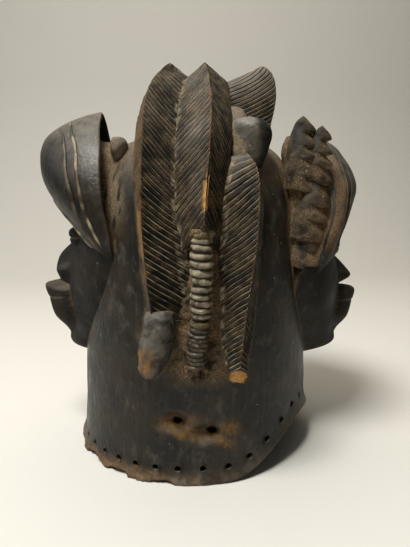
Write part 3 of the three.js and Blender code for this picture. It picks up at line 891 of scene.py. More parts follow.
    def cutters(self) -> Thing:
        """Sets round cutters along the rim and at the tie holes, by Geometry Nodes.

        Returns:
            All cutters as one mesh.
        """
        rim_reach, tie_reach = self.cutter_reach
        seats, sizes = [], []
        for i in range(self.rim_holes):
            degrees = np.array([self.rim_hole_first + 360 * i / self.rim_holes])
            turn = np.radians(degrees)
            z = self.rim_hole_height + self.rise(degrees)
            a, b = self.halves(z)
            x = self.centre_x + a * squared(np.cos(turn), self.squareness)
            y = b * squared(np.sin(turn), self.squareness)
            seats.append([x[0], y[0], z[0]])
            sizes.append([self.rim_hole_radius, self.rim_hole_radius, rim_reach])
        for x, z, *_ in self.tie_holes:
            seats.append([x, -self.tie_hole_forward, z])
            sizes.append([self.tie_hole_radius, self.tie_hole_radius * self.tie_hole_stretch, tie_reach])
        seats = np.array(seats)
        aims = seats - np.array([self.centre_x, 0, 0])
        aims[self.rim_holes:, 0] = 0
        aims[:, 2] = 0
        mesh = bpy.data.meshes.new("hole_cutters")
        mesh.from_pydata(((seats + CENTRING) * MILLIMETRE).tolist(), [], [])
        for name, value in (("aim", aims), ("size", np.array(sizes) * MILLIMETRE)):
            layer = mesh.attributes.new(name, "FLOAT_VECTOR", "POINT")
            layer.data.foreach_set("vector", value.astype(np.float32).ravel())
        tree, inputs = geometry_tree("holes_along_rim", (), ("Sides",))
        add = partial(tree_node, tree)
        start = inputs.node
        round_cut = {"Radius": 1.0, "Depth": 2.0}
        pin = add("GeometryNodeMeshCylinder", round_cut, {"Vertices": start.outputs["Sides"]})
        aim, size = (
            add("GeometryNodeInputNamedAttribute", {"data_type": "FLOAT_VECTOR", "Name": name})
            for name in ("aim", "size")
        )
        turn = add("FunctionNodeAlignRotationToVector", {"axis": "Z"}, {"Vector": aim.outputs[0]})
        spots = add("GeometryNodeMeshToPoints", {}, {0: start.outputs[0]})
        pins = add(
            "GeometryNodeInstanceOnPoints", {},
            {"Points": spots.outputs[0], "Instance": pin.outputs["Mesh"], "Rotation": turn.outputs[0],
             "Scale": size.outputs[0]},
        )
        close_tree(tree, pins.outputs[0])
        return run_tree(linked_object("hole_cutters", mesh), tree, inputs, {"Sides": self.cutter_sides})

    def build(self) -> Thing:
        """Makes the wall with its hollow and cuts the holes through it.

        Returns:
            The wall with its marks.
        """
        whole = Skin.lofted(np.concatenate([self.hollow(), self.outside()])).to_object(self.name)
        cutters = self.cutters()
        cut = whole.modifiers.new("holes", "BOOLEAN")
        cut.operation, cut.solver, cut.object = "DIFFERENCE", "MANIFOLD", cutters
        whole = finished_mesh(whole)
        bpy.data.objects.remove(cutters)
        for name, value in self.marks(places_of(whole)).items():
            set_mark(whole, name, value)
        return whole

    def ochre_powder(self, places: Array) -> Array:
        """Finds the powdery ochre under and beside the tie holes.

        Args:
            places: points of the finished wall.

        Returns:
            Share of ochre at each point.
        """
        x, y, z = places.T
        band = np.abs(z - 41 + 0.30 * (x + 20) + 3 * rough_at(places, 9.0, 33))
        run = ramp(x, -62, -42) * (1 - ramp(x, 2, 15))
        right = hump(np.hypot((x - 6) / 15, (z - 47) / 12))
        specks = rough_at(places, 2.2, 37) + 0.4 * rough_at(places, 5.0, 38)
        speckled = 0.45 + 0.55 * ramp(specks, -0.35, 0.3)
        powder = np.maximum(run * (1 - ramp(band, 2.0, 6.5)), 1.2 * right) * speckled
        return np.where(y < 0, powder, 0) * 0.7

    def marks(self, places: Array) -> dict[str, Array]:
        """Finds what has happened to the surface of the wall.

        Args:
            places: points of the finished wall.

        Returns:
            A value for each point, by mark.
        """
        x, y, z = places.T
        degrees = np.degrees(np.arctan2(y, x - self.centre_x))
        degrees = np.where(degrees > 90, degrees - 360, degrees)
        low = z - self.rise(degrees)
        outer = self.share(places)
        front = y < 0
        ground = self.on_ground(places)
        frayed_to = 15 + 5 * rough_at(places, 9.0, 31)
        frayed = hump((degrees - self.frayed_at) / 66) * (1 - ramp(low, 2, frayed_to))
        foot_worn = 1 - ramp(low, 1.0, 4.0 + 2 * rough_at(places, 8.0, 32))
        foot_worn = foot_worn * 0.8 * hump((degrees + 125) / 75)
        scoured = np.hypot((x + 33) / 30, (z - 52) / 16)
        worn = np.maximum(np.maximum(frayed, foot_worn), np.where(front, 0.8 * hump(scoured), 0))

        middle, run, foot, top = self.behind_hood
        hood_foot = hump((x - middle) / run) * ramp(z, foot, top)
        gaps = ramp(rough_at(places * np.array([1, 1, 0.35]), 4.2, 43), -0.45, 0.05)
        shelf = np.where(front, hood_foot, 0) * gaps
        dusty = 1.2 * shelf + 0.35 * frayed + 0.4 * ramp(z, 240, 285)
        dusty = np.maximum(dusty, 0.9 * ground)
        patchy = 0.5 + 0.9 * rough_at(places, 10.0, 34) + 0.5 * rough_at(places, 3.5, 35)
        dusty = dusty * (1 - ground) + dusty * ground * (0.15 + 1.5 * patchy)

        black = np.clip(ground * ramp(-patchy, -0.45, 0.0), 0, 1) * (outer < 2)
        black = np.maximum(black, np.where(front, 0.6 * (hood_foot * (1 - gaps)), 0))
        # painted shade in and round the rim holes, which are 19.5 mm apart, as far as 3.2 mm to either side
        # of their middles
        turn = np.radians((degrees - self.rim_hole_first) * self.rim_holes / 2)
        off = np.hypot(np.sin(turn) * 19.5 / math.pi, (low - self.rim_hole_height) * 0.5)
        black = np.maximum(black, 0.8 * (1 - np.clip(off / 3.2, 0, 1)) * (outer < 2))
        # painted shade in the worn funnels round the tie holes
        for hole_x, hole_z, *_ in self.tie_holes:
            funnel = hump(np.hypot((x - hole_x) / 10.5, (z - hole_z + 1) / 8.5))
            black = np.maximum(black, np.where(front, ramp(funnel, 0.05, 0.7), 0))

        scuffed = ramp(rough_at(places, 4.0, 39) + 0.5 * rough_at(places, 9.0, 40), 0.05, 0.5)
        scuffed = scuffed * (1 - ramp(low, 3.0, 15.0)) * (outer < 2) * hump((degrees + 110) / 75)
        film = 1.7 * shelf * (0.8 + 0.5 * rough_at(places, 8.0, 36)) + 0.8 * scuffed
        return {
            "worn": worn, "inside": (1 - ramp(outer, 0.90, 0.955)) * (outer < 2),
            "ochre": self.ochre_powder(places), "dusty": np.clip(dusty, 0, 1), "black": black,
            "film": np.clip(film, 0, 1),
        }


@dataclass
class Head:
    """One head: face, closed eyes and hood of hair, built looking along +X and set on its side."""

    wall: Wall
    side: Side
    # tables by height: how far forward the face reaches, its half width, where it starts at the back
    reach: Table = (
        (84, 100), (87, 120), (91, 137), (97, 144), (106, 142.5), (114, 139.5), (130, 139.5), (150, 141),
        (165, 140.5), (180, 137.5), (196, 131), (208, 128), (220, 130), (230, 136), (240, 142),
    )
    half_width: Table = (
        (84, 20), (87, 27), (91, 32), (97, 38), (106, 46), (120, 57), (150, 69), (180, 75), (194, 76),
        (203, 70), (212, 64), (225, 56), (240, 48),
    )
    back: Table = ((84, 76), (180, 80), (198, 92), (212, 100), (240, 104))
    squareness: float = 2.15
    # how far the nose and the lips stand out
    nose: Table = (
        (84, 0), (156, 2), (158, 9), (161, 12), (164, 14), (168, 16), (176, 16.5), (184, 15.5), (191, 12),
        (198, 7), (206, 5), (216, 4), (228, 1), (240, 0),
    )
    right_nose: Table = (
        (84, 0), (156, 0), (160, 5), (163, 13), (167, 21), (170, 22), (176, 18.5), (182, 15), (190, 10),
        (200, 6), (214, 2), (228, 0), (240, 0),
    )
    nose_half_width: Table = ((84, 12), (158, 12.5), (168, 12), (180, 8.5), (200, 5.5), (216, 5), (240, 5))
    lips: Table = (
        (84, 0), (102, 0), (107, 3.5), (112, 9.5), (117, 15), (122, 18.5), (131, 21), (141, 22), (148, 23.5),
        (152.5, 23.7), (155.3, 21.5), (157, 12), (158.5, 0), (240, 0),
    )
    lip_half_width: float = 25.0
    mouth_height: float = 141.0
    eye_place: Pair = (29.0, 203.0)
    eye_half: Pair = (16.5, 9.5)
    eye_stands: float = 10.5
    brow_height: float = 213.0
    brow_stands: float = 6.0
    # the hood in the same way
    hood_reach: Table = (
        (176, 96), (188, 106), (197, 118), (206, 125), (216, 132), (226, 141.5), (238, 151.5), (250, 158.5),
        (262, 162), (275, 163), (285, 161.5), (294, 157), (302, 148), (309, 136), (315, 122), (319, 109),
    )
    hood_half_width: Table = (
        (176, 71), (190, 77.5), (205, 80), (230, 79), (253, 73), (274, 62), (290, 49), (303, 34), (313, 19),
        (319, 6),
    )
    hood_back: Table = (
        (176, 87), (190, 90), (212, 93), (226, 96), (253, 99), (275, 100), (300, 103), (319, 104),
    )
    hood_squareness: Table = ((176, 2.7), (190, 2.7), (210, 2.6), (240, 2.05), (319, 2.05))
    right_hood_reach: Table = (
        (176, 102), (188, 114), (201, 127), (216, 132), (231, 142), (251, 152.5), (258, 155.5), (267, 156),
        (280, 152), (294, 144), (303, 138), (310, 128), (315, 119), (319, 110),
    )
    right_hood_back: Table = (
        (176, 94), (190, 100), (212, 105.5), (231, 112), (249, 115), (267, 115), (281, 113), (294, 110),
        (308, 107), (319, 105),
    )
    # section of the hood's rim, from its outer edge inwards: how far back, how far in
    left_rim: Table = ((0, 0), (0.9, 1.2), (0.6, 3.6), (-2.2, 6.4), (-5.5, 9.5), (-8, 12), (-8.5, 14.5))
    right_rim: Table = ((0, 0), (5, 3.0), (10, 6.4), (10.6, 8.2), (7.5, 10.0), (0, 11.5), (-4, 13.5))
    # the neck of wood that ties the hood to the block: how far back it reaches, half width
    neck_back: Table = ((176, 62), (276, 62), (284, 72), (289, 88), (293, 110), (319, 110))
    neck_half: Table = ((176, 57), (240, 55), (262, 49), (278, 38), (287, 24), (293, 8), (319, 6))
    # raised lines of hair on the hood: height, then the angle from the forehead, degrees
    hair_lines: tuple[Table, ...] = (
        ((299, 44), (292, 56), (278, 61.5), (262, 62.2), (245, 63.5), (230, 62.4), (216, 62), (205, 65),
         (195, 72)),
        ((306, 46), (300, 59), (287, 69), (275, 71.8), (260, 72.3), (235, 72.8), (220, 73.6), (208, 76),
         (196, 81)),
        ((240, 6), (234, 16), (224, 27), (213, 38), (204, 48), (196, 58)),
    )
    hair_line_radius: float = 1.5
    # how pale the dust and painted highlight lie on each line
    hair_line_dust_and_highlight: Triple = (0.1, 0.55, 0.45)
    # height of the left and of the right chin, and the size of the right head beside the left one
    feet: Pair = (91.0, 85.0)
    right_scale: Triple = (0.94, 0.93, 0.955)
    right_hood_scale: float = 0.92

    def set_on_side(self, points: Array, hood: bool = False) -> Array:
        """Moves points of a head to this head's side of the block.

        Args:
            points: places on a head that looks along +X.
            hood: true for the hood, which has its own size on the right.

        Returns:
            Places in the carving frame.
        """
        out = points.copy()
        if self.side is Side.RIGHT:
            out[..., 2] = (out[..., 2] - self.feet[0]) * self.right_scale[2] + self.feet[1]
            out[..., 0] *= self.right_hood_scale if hood else self.right_scale[0]
            out[..., 1] *= self.right_scale[1]
        out[..., 0] *= self.side.value
        return out

    def face(self) -> Skin:
        """Shapes the face from chin to brow with nose, lips and closed eyes.

        Returns:
            The face with its marks.
        """
        z = np.concatenate([np.linspace(84, 100, 18), np.linspace(101, 240, 170)])[:, None]
        across = np.linspace(-1, 1, 181)[None, :]
        turn = (0.62 * across + 0.38 * across**3) * math.pi / 2
        back, half = along(self.back, z), along(self.half_width, z)
        y = half * squared(np.sin(turn), self.squareness) * (0.9 + 0.1 * np.abs(np.sin(turn)))
        x = back + (along(self.reach, z) - back) * squared(np.cos(turn), self.squareness)
        level = np.broadcast_to(z, y.shape)
        nose = self.nose if self.side is Side.LEFT else self.right_nose
        x = x + along(nose, z) * hump(y / (2 * along(self.nose_half_width, z)))
        wings = np.hypot((np.abs(y) - 11.5) / 7.5, (level - 168.5) / 8.5)
        x = x + 4.5 * hump(wings)
        corner = np.clip(np.abs(y) / self.lip_half_width, 0, 1)
        spread = self.mouth_height + (level - self.mouth_height) / (1 - 0.42 * corner**2)
        x = x + along(self.lips, spread) * np.sqrt(np.clip(1 - corner**2.4, 0, 1))
        ey, ez = np.abs(y) - self.eye_place[0], level - self.eye_place[1]
        lid = np.clip(1 - (ey / self.eye_half[0]) ** 2 - (ez / self.eye_half[1]) ** 2, 0, 1)
        socket = hump(np.hypot(ey / 26, ez / 14))
        x = x - 2.4 * socket + self.eye_stands * lid**0.75
        slit = np.exp(-((ez + 0.8) / 0.8) ** 2) * ramp(lid, 0.0, 0.25)
        mouth = np.exp(-((level - self.mouth_height - 3 * corner**2) / 1.1) ** 2)
        mouth = mouth * (1 - ramp(corner, 0.85, 1.0))
        x = x - 1.1 * slit - 0.9 * mouth
        arch = level - self.brow_height + 7 * (np.abs(y) / 40) ** 2
        x = x + self.brow_stands * hump(arch / 8.5) * hump(y / 50) ** 0.6
        face = np.stack([x, y, level], -1)
        steps = np.linspace(0, 1, 7)[None, 1:, None]
        sides = []
        for sign, column in ((1, -1), (-1, 0)):
            inner = np.stack([back - 14, sign * half * 0.6, z], -1)
            sides.append(face[:, column][:, None] * (1 - steps) + inner * steps)
        rings = np.concatenate([face, sides[0], sides[1][:, ::-1]], 1)
        rings = self.set_on_side(rings)
        wobble = 0.30 * rough_at(rings, 24.0, 41) + 0.12 * rough_at(rings, 7.0, 42)
        rings[..., 0] += wobble
        cut = np.zeros(rings.shape[:2])
        cut[:, : face.shape[1]] = 0.12 * np.maximum(slit, mouth)
        full = along(self.lips, spread) > 12
        tips = np.zeros(rings.shape[:2])
        tips[:, : face.shape[1]] = 0.2 * full * np.sqrt(np.clip(1 - corner**2.4, 0, 1))
        # painted shade over the face, which lies under the hood, in patches
        darkened = np.clip(0.55 + 0.3 * rough_at(rings, 16.0, 47), 0, 1)
        return Skin.lofted(self.wall.tucked(rings), {"cut": cut, "worn": tips, "black": darkened})

    def hood_at(self, z: Array, turn: Array, lift: float = 0.0) -> Array:
        """Finds points on the outside of the hood.

        Args:
            z: heights.
            turn: angles from the forehead, radians.
            lift: how far they stand out of it.

        Returns:
            Places on a head that looks along +X.
        """
        reach, back = self.hood_tables()
        behind = along(back, z)
        half = along(self.hood_half_width, z) + lift
        power = along(self.hood_squareness, z)
        return np.stack([
            behind + (along(reach, z) - behind + lift) * squared(np.cos(turn), power),
            half * squared(np.sin(turn), power),
            z + turn * 0,
        ], -1)

    def hood_tables(self) -> tuple[Table, Table]:
        """How far this side's hood reaches, and where its rim stands."""
        if self.side is Side.LEFT:
            return self.hood_reach, self.hood_back
        return self.right_hood_reach, self.right_hood_back

    def hood(self) -> Skin:
        """Shapes the hood of hair, the recess behind its rim and the neck that ties it to the block.

        Returns:
            The hood with its marks.
        """
        share = np.linspace(0, 1, 150)[:, None]
        z = 176 + 143 * (1 - (1 - share) ** 1.6)
        turn = np.linspace(-90, 90, 150)[None, :] * math.pi / 180
        front = self.hood_at(z, turn)
        reach, behind = self.hood_tables()
        back, half = along(behind, z), along(self.hood_half_width, z)
        rim = self.left_rim if self.side is Side.LEFT else self.right_rim
        rows = tuple((i / (len(rim) - 1), *row) for i, row in enumerate(rim))
        at = np.linspace(0, 1, 22)[None, 1:]
        fit = np.minimum(1, half / 34) * np.minimum(1, (along(reach, z) - back) / 22)
        rim_x, rim_y = back - fit * along(rows, at, 1), half - fit * along(rows, at, 2)
        floor_x, floor_y = rim_x[:, -1:], rim_y[:, -1:]
        neck = np.minimum(along(self.neck_half, z), floor_y * 0.9)
        end = np.minimum(along(self.neck_back, z), floor_x)
        in_ = np.linspace(0, 1, 6)[None, 1:]
        run = np.linspace(0, 1, 14)[None, 1:]
        side_x = np.concatenate([rim_x, floor_x + 0 * in_, floor_x + (end - floor_x) * run], 1)
        side_y = np.concatenate([rim_y, floor_y + (neck - floor_y) * in_, neck + 0 * run], 1)
        right = np.stack([side_x, side_y, z + 0 * side_x], -1)
        across = np.linspace(0.86, -0.86, 9)[None, :]
        far = np.stack([end + 0 * across, neck * across, z + 0 * across], -1)
        left = right[:, ::-1] * np.array([1, -1, 1])
        rings = self.set_on_side(np.concatenate([front, right, far, left], 1), hood=True)
        rings[..., 0] += 0.35 * rough_at(rings, 26.0, 43) + 0.1 * rough_at(rings, 8.0, 44)
        hidden = slice(front.shape[1] + at.size - 6, rings.shape[1] - at.size + 6)
        rough = np.stack([rough_at(rings, 6.0, seed) for seed in (45, 46)], -1)
        rings[:, hidden, :2] += 0.8 * rough[:, hidden]
        dusty, worn, black = (np.zeros(rings.shape[:2]) for _ in range(3))
        dusty[:, hidden] = 0.95
        if self.side is Side.LEFT:
            # painted shadow in the band just inside the left rim
            shade = slice(front.shape[1] + 4, front.shape[1] + at.size - 2)
            mirror = slice(rings.shape[1] - at.size + 2, rings.shape[1] - 4)
            dusty[:, shade] = dusty[:, mirror] = 0.0
            black[:, shade] = black[:, mirror] = 0.9
        if self.side is Side.RIGHT:
            band = slice(front.shape[1] + 2, front.shape[1] + at.size - 4)
            mirror = slice(rings.shape[1] - at.size + 4, rings.shape[1] - 2)
            dusty[:, band] = dusty[:, mirror] = 0.75
            worn[:, band] = worn[:, mirror] = 0.8
            patchy = 0.75 + 0.4 * rough_at(rings, 7.0, 48)
            beside = ramp(np.abs(turn), 1.2, 1.4) * patchy[:, : front.shape[1]] * ramp(z, 196, 222)
            dusty[:, : front.shape[1]] = np.clip(0.7 * beside, 0, 1)
            worn[:, : front.shape[1]] = np.clip(beside, 0, 1)
        # painted shade on the low part of the hood, in the same patches as on the face
        below = (1 - ramp(z, 182, 206)) * np.clip(0.55 + 0.3 * rough_at(rings, 16.0, 47), 0, 1)
        dusty, worn, black = dusty * ramp(z, 182, 200), worn * ramp(z, 182, 200), np.maximum(black, below)
        return Skin.lofted(self.wall.tucked(rings), {"dusty": dusty, "worn": worn, "black": black})

    def strand(self, line: Table, pale: float, sign: int) -> Skin:
        """Shapes one raised line of hair, fine at both ends.

        Args:
            line: heights and angles from the forehead.
            pale: how pale the dust and painted highlight lie on its top.
            sign: side of the hood.

        Returns:
            The line with its marks.
        """
        thin, dust_and_highlight = (1.0, 1.0) if self.side is Side.LEFT else (0.6, 0.15)
        s = np.linspace(0, 1, 70)
        rows = tuple((i / (len(line) - 1), *row) for i, row in enumerate(line))
        z, turn = along(rows, s, 1), np.radians(along(rows, s, 2)) * sign
        spine = self.hood_at(z, turn, 0.1)
        run = np.gradient(spine, axis=0)
        run /= np.linalg.norm(run, axis=1, keepdims=True)
        out = spine - np.stack([along(self.hood_tables()[1], z) - 20, z * 0, z], -1)
        out -= np.sum(out * run, 1, keepdims=True) * run
        out /= np.linalg.norm(out, axis=1, keepdims=True)
        beside = np.cross(run, out)
        swell = 0.35 + 0.65 * np.sin(np.clip(s * 1.02, 0, 1) * math.pi) ** 0.5
        size = thin * self.hair_line_radius * swell
        angle = np.linspace(0, 2 * math.pi, 12, endpoint=False)
        across = np.cos(angle)[None, :, None] * beside[:, None] * 1.15
        up = np.sin(angle)[None, :, None] * out[:, None]
        ring = self.set_on_side(spine[:, None] + (across + up) * size[:, None, None], hood=True)
        # the top of the line gets dust and a painted highlight, its sides and underside painted shade
        top = np.broadcast_to(ramp(np.sin(angle), -0.2, 0.7)[None, :], ring.shape[:2])
        rubbed = pale * dust_and_highlight * top * ramp(rough_at(ring, 7.0, 49), -0.5, 0.4)
        return Skin.lofted(ring, {"worn": 0.4 * top, "cut": rubbed, "black": 0.7 * (1 - top)})

    def strands(self) -> Skin:
        """Raised lines of hair on both sides of the hood."""
        lines = zip(self.hair_lines, self.hair_line_dust_and_highlight)
        return Skin.joined([self.strand(line, pale, sign) for line, pale in lines for sign in (-1, 1)])

    def build(self) -> Thing:
        """The whole head as one mesh."""
        whole = Skin.joined([self.face(), self.hood(), self.strands()])
        return whole.to_object(f"{self.side.name.lower()}_head")


def course(stations: Table, s: Array) -> Array:
    """Reads places along a course.

    Args:
        stations: rows of x, y forward and z, at even shares of the run.
        s: shares of the run.

    Returns:
        Places before any turn, y pointing back.
    """
    last = len(stations) - 1
    rows = tuple((i / last, x, -y, z) for i, (x, y, z) in enumerate(stations))
    return np.stack([along(rows, s, column) for column in (1, 2, 3)], -1)


def over_top(stations: Table, tail: Triple) -> Table:
    """Front run of a list of stations joined to its repeat down the back, which ends at a tail."""
    return (tail,) + tuple((x, -y, z) for x, y, z in stations[-2:0:-1]) + tuple(stations)


@dataclass
class Ridge:
    """Ridge of hair of V section, cut with slanting lines that meet at its keel."""

    wall: Wall
    name: str
    left: Table
    keel: Table
    right: Table
    seed: int
    pitch: float = 5.0
    groove_half: float = 0.72
    groove_depth: float = 1.35
    # share of the depth of the lines on the left flank
    left_lines: float = 1.0
    # how black the wood is on the left and on the right flank: soot, and painted shade, more on the right
    # flank turned from the light
    blackness: Pair = (0.55, 0.85)
    # one cut line, from above it to below it: shares of the half groove and of the pitch, depth, pale dust
    # with a painted highlight on the lower lip
    tooth: Table = (
        (0, -0.42, 0.02, 0.0), (-1.15, 0, 0.0, 0.0), (0, 0, 1.0, 0.0), (0.62, 0, 0.45, 0.35),
        (1.0, 0, 0.0, 1.0), (1.4, 0, -0.16, 0.5), (0, 0.34, -0.06, 0.0),
    )
    # shares of the run over which the lines wear out at the foot
    worn_out: float = 0.0
    # flank whose foot lies in a dusty valley: -1 left, 1 right, 0 neither
    valley_side: int = 0
    # brown dirt in patches, and a place with its radius where pale dust has settled
    dirty: float = 0.25
    dusty_patch: tuple[float, float, float, float] | None = None
    # grey dust all over, with clearer patches
    dusted: float = 0.1
    lean: float = 0.72
    overlap: float = 1.18
    keel_round: float = 0.07
    rubbed_keel: float = 0.5
    # lines run straight across near the ends, and turn round this far along the run past the top
    end_run: float = 16.0
    turns_past_top: float = 0.0
    # heights between which a splinter is gone from the keel, and its share of the left flank at its foot
    splinter: Triple | None = None
    # heights between which the left flank is rubbed brown, with bare patches
    bare_edge: Pair | None = None
    # how much rounder the keel is at the top, and a chip there: x, y, z, radius, depth
    top_round: float = 0.0
    chip: tuple[float, float, float, float, float] | None = None
    # place and direction of the break across the foot
    break_at: Triple | None = None
    break_faces: Triple = (-0.05, -0.74, -0.67)

    def cut_rows(self, arc: Array, top: float) -> tuple[Array, Array, Array]:
        """Spaces the cut lines along the ridge, unevenly as by hand.

        Args:
            arc: distance along the keel at fine steps of its run.
            top: distance along the keel of its highest place.

        Returns:
            Distance along the keel, depth, and pale dust with painted highlight of each row of points.
        """
        chance = np.random.default_rng(self.seed)
        centres = np.arange(self.pitch * 0.6, arc[-1] - self.pitch * 0.6, self.pitch)
        centres = centres + chance.uniform(-0.35, 0.35, len(centres))
        strength = chance.uniform(0.75, 1.1, len(centres))
        places, cuts, pales = [], [], []
        for centre, strong in zip(centres, strength):
            # the pale lip is kept on the lower side of each line, a painted highlight where light from above
            # falls
            below = 1.0 if centre > top + self.turns_past_top else -1.0
            for across, along_pitch, cut, pale in self.tooth:
                places.append(centre + below * (across * self.groove_half + along_pitch * self.pitch))
                cuts.append(cut * strong)
                pales.append(pale * strong)
        order = np.argsort(np.array(places))
        return tuple(np.array(values)[order] for values in (places, cuts, pales))

    def splintered(self, base: Array, c: Array) -> tuple[Array, Array]:
        """Finds where a splinter is gone from the keel.

        Args:
            base: points of the ridge before it is cut.
            c: place across it, below 0 on the left flank.

        Returns:
            Share of the cut lines left beside it, and 1 where the splinter is gone.
        """
        low, high, share = self.splinter
        flank, height, front = np.abs(c)[None, :], base[..., 2], base[..., 1] < 0
        left = np.where(c[None, :] < 0, flank, -0.02)
        width_here = share * (0.6 + 0.4 * (1 - ramp(height, low + 14, high)))
        beside = ramp(height, low - 2, low) * (1 - ramp(height, high, high + 2)) * front
        gone = ramp(height, low - 0.6, low + 0.6) * (1 - ramp(height, high - 3, high))
        gone = gone * (left < width_here) * (flank < width_here) * front
        kept = 1 - 0.9 * beside * (1 - ramp(flank, share, share + 0.05))
        return kept, gone * ((c[None, :] < 0) | (flank < 0.03))

    def rubbed_left(self, base: Array, c: Array) -> tuple[Array, Array]:
        """Finds where the left flank is rubbed.

        Args:
            base: points of the ridge before it is cut.
            c: place across it, below 0 on the left flank.

        Returns:
            How far it is rubbed down and how brown it is.
        """
        low, high = self.bare_edge
        front = base[..., 1] < 0
        left = np.where(c[None, :] < 0, np.abs(c)[None, :], -0.02)
        patchy = ramp(rough_at(base * np.array([1, 1, 0.35]), 7.0, 62), -0.25, 0.15)
        span = ramp(base[..., 2], low, low + 10) * (1 - ramp(base[..., 2], high - 20, high))
        rubbed = ramp(left, 0.03, 0.12) * (1 - ramp(left, 0.75, 1.0)) * span * patchy * front
        brown = 0.9 * ramp(left, 0.0, 0.15) * front * (0.7 + 0.5 * rough_at(base, 9.0, 63))
        return rubbed * (c[None, :] < 0), np.clip(brown, 0, 1)

    def slanted(self, arc: Array, u: Array, c: Array, top: float) -> Array:
        """Slants the rows of points, so that the cut lines meet at the keel.

        Args:
            arc: distance along the keel at fine steps of its run.
            u: distance along the keel of each row.
            c: place across the ridge, below 0 on the left flank.
            top: distance along the keel of its highest place.

        Returns:
            Share of the run at each point.
        """
        fine = np.linspace(0, 1, len(arc))
        s = np.interp(u, arc, fine)
        keel = course(self.keel, s)
        left, right = (np.linalg.norm(course(t, s) - keel, axis=1)[:, None] for t in (self.left, self.right))
        drop = np.tanh((u - top - self.turns_past_top) / 22)
        drop = drop * ramp(np.minimum(u, arc[-1] - u), 0, self.end_run)
        shift = self.lean * np.where(c[None, :] < 0, left, right) * np.abs(c)[None, :] * drop[:, None]
        wavy = np.stack([u[:, None] + 0 * c, 18 * c[None, :] + 0 * u[:, None], shift * 0], -1)
        shift = shift + 0.45 * rough_at(wavy, 7.0, self.seed + 3)
        return np.interp(u[:, None] + shift, arc, fine)

    def closed(self, grid: Array) -> Array:
        """Closes the ridge behind, with both edges drawn down into the block.

        Args:
            grid: points of its two flanks.

        Returns:
            Rings of points round it.
        """
        steps = np.linspace(0, 1, 9)[None, 1:, None]
        right, left = (
            edge[:, None] * (1 - steps) + self.wall.tucked(edge, all_points=True)[:, None] * steps
            for edge in (grid[:, -1], grid[:, 0])
        )
        return self.wall.tucked(np.concatenate([grid, right, left[:, ::-1]], 1))

    def build(self) -> Thing:
        """Makes the ridge, its foot sunk in the block.

        Returns:
            One closed mesh with its marks.
        """
        fine = np.linspace(0, 1, 2400)
        spine = course(self.keel, fine)
        arc = np.concatenate([[0], np.cumsum(np.linalg.norm(np.diff(spine, axis=0), axis=1))])
        length = arc[-1]
        top = arc[np.argmax(spine[:, 2])]
        u, cut, pale = self.cut_rows(arc, top)
        q = np.linspace(-1, 1, 37)
        c = np.sign(q) * np.abs(q) ** 1.25 * self.overlap
        s = self.slanted(arc, u, c, top)
        flank = np.abs(c)[None, :]
        smooth = hump((u - top - self.turns_past_top) / 24)[:, None]
        e = self.keel_round + self.top_round * hump((u - top) / 45)[:, None]
        t = (np.sqrt(flank**2 + e * e) - e) / (np.sqrt(1 + e * e) - e)
        keel = course(self.keel, s)
        foot = np.where((c < 0)[None, :, None], course(self.left, s), course(self.right, s))
        base = keel + (foot - keel) * t[..., None]
        out = normals_of(base, course(self.keel, np.array([0.5]))[0] * np.array([1, 0.2, 0.6]))
        if self.break_at:
            swell = 4.5 * np.sin(math.pi * np.clip(t, 0, 1)) * ramp(u, length - 60, length - 20)[:, None]
            base = base + out * swell[..., None]
        noise = rough_at(base, 9.0, self.seed)
        fade = 0.85 + 0.15 * ramp(flank, 0.02, 0.16)
        fade = fade * (1 - 0.5 * ramp(flank, 0.9, 1.1)) * np.clip(1 + 0.45 * noise, 0.3, 1.2)
        fade = fade * np.where(c < 0, self.left_lines, 1.0)[None, :]
        if self.worn_out:
            fade = fade * (0.25 + 0.75 * ramp((length - u) / length, 0.0, self.worn_out))[:, None]
        bare = np.zeros(base.shape[:2])
        crest = hump(flank / 0.10)
        worn = self.rubbed_keel * crest * (0.55 + 0.45 * rough_at(base, 14.0, self.seed + 5))
        if self.splinter:
            kept, bare = self.splintered(base, c)
            fade = fade * kept
        depth = self.groove_depth * cut[:, None] * fade * (1 - 0.85 * smooth)
        if self.splinter:
            split = rough_at(base * np.array([1, 1, 0.08]), 1.3, 61)
            depth = depth * (1 - bare) + bare * (2.1 + 0.35 * split)
        if self.bare_edge:
            rubbed, brown = self.rubbed_left(base, c)
            bare = np.maximum(bare, 0.25 * ramp(rubbed, 0.2, 0.5))
            depth = depth * (1 - 0.7 * ramp(rubbed, 0.2, 0.5)) + 0.8 * rubbed
            worn = np.maximum(worn, brown)
        depth = depth + 0.35 * rough_at(base, 11.0, self.seed + 9)
        depth = depth + 0.42 * rough_at(base, 2.8, self.seed + 10)
        if self.chip:
            *middle, radius, deep = self.chip
            off = np.linalg.norm(base - np.array(middle), axis=-1) / radius
            depth = depth + deep * (1 - ramp(off + 0.25 * rough_at(base, 3.0, self.seed + 11), 0.75, 1.0))
        grid = turned(base - out * depth[..., None])
        if self.break_at:
            facing = np.array(self.break_faces) / np.linalg.norm(self.break_faces)
            beyond = (grid - np.array(self.break_at)) @ facing
            grid = grid - np.maximum(beyond, 0)[..., None] * facing
            bare = np.maximum(bare, ramp(beyond, 0.0, 0.5))
        broken = 0.2 + 0.8 * ramp(rough_at(base, 4.2, self.seed + 20), -0.45, 0.1)
        # pale dust and painted highlights on the lower lips of the cut lines
        lines = (np.clip(pale, 0, 1) ** 1.7)[:, None] * fade * broken * (1 - 0.7 * smooth) * (1 - bare)
        speckled = ramp(rough_at(base, 2.4, self.seed + 22), 0.1, 0.5)
        in_valley = c[None, :] * self.valley_side > 0
        lines = np.maximum(lines, 0.6 * speckled * ramp(flank, 0.88, 1.0) * in_valley)
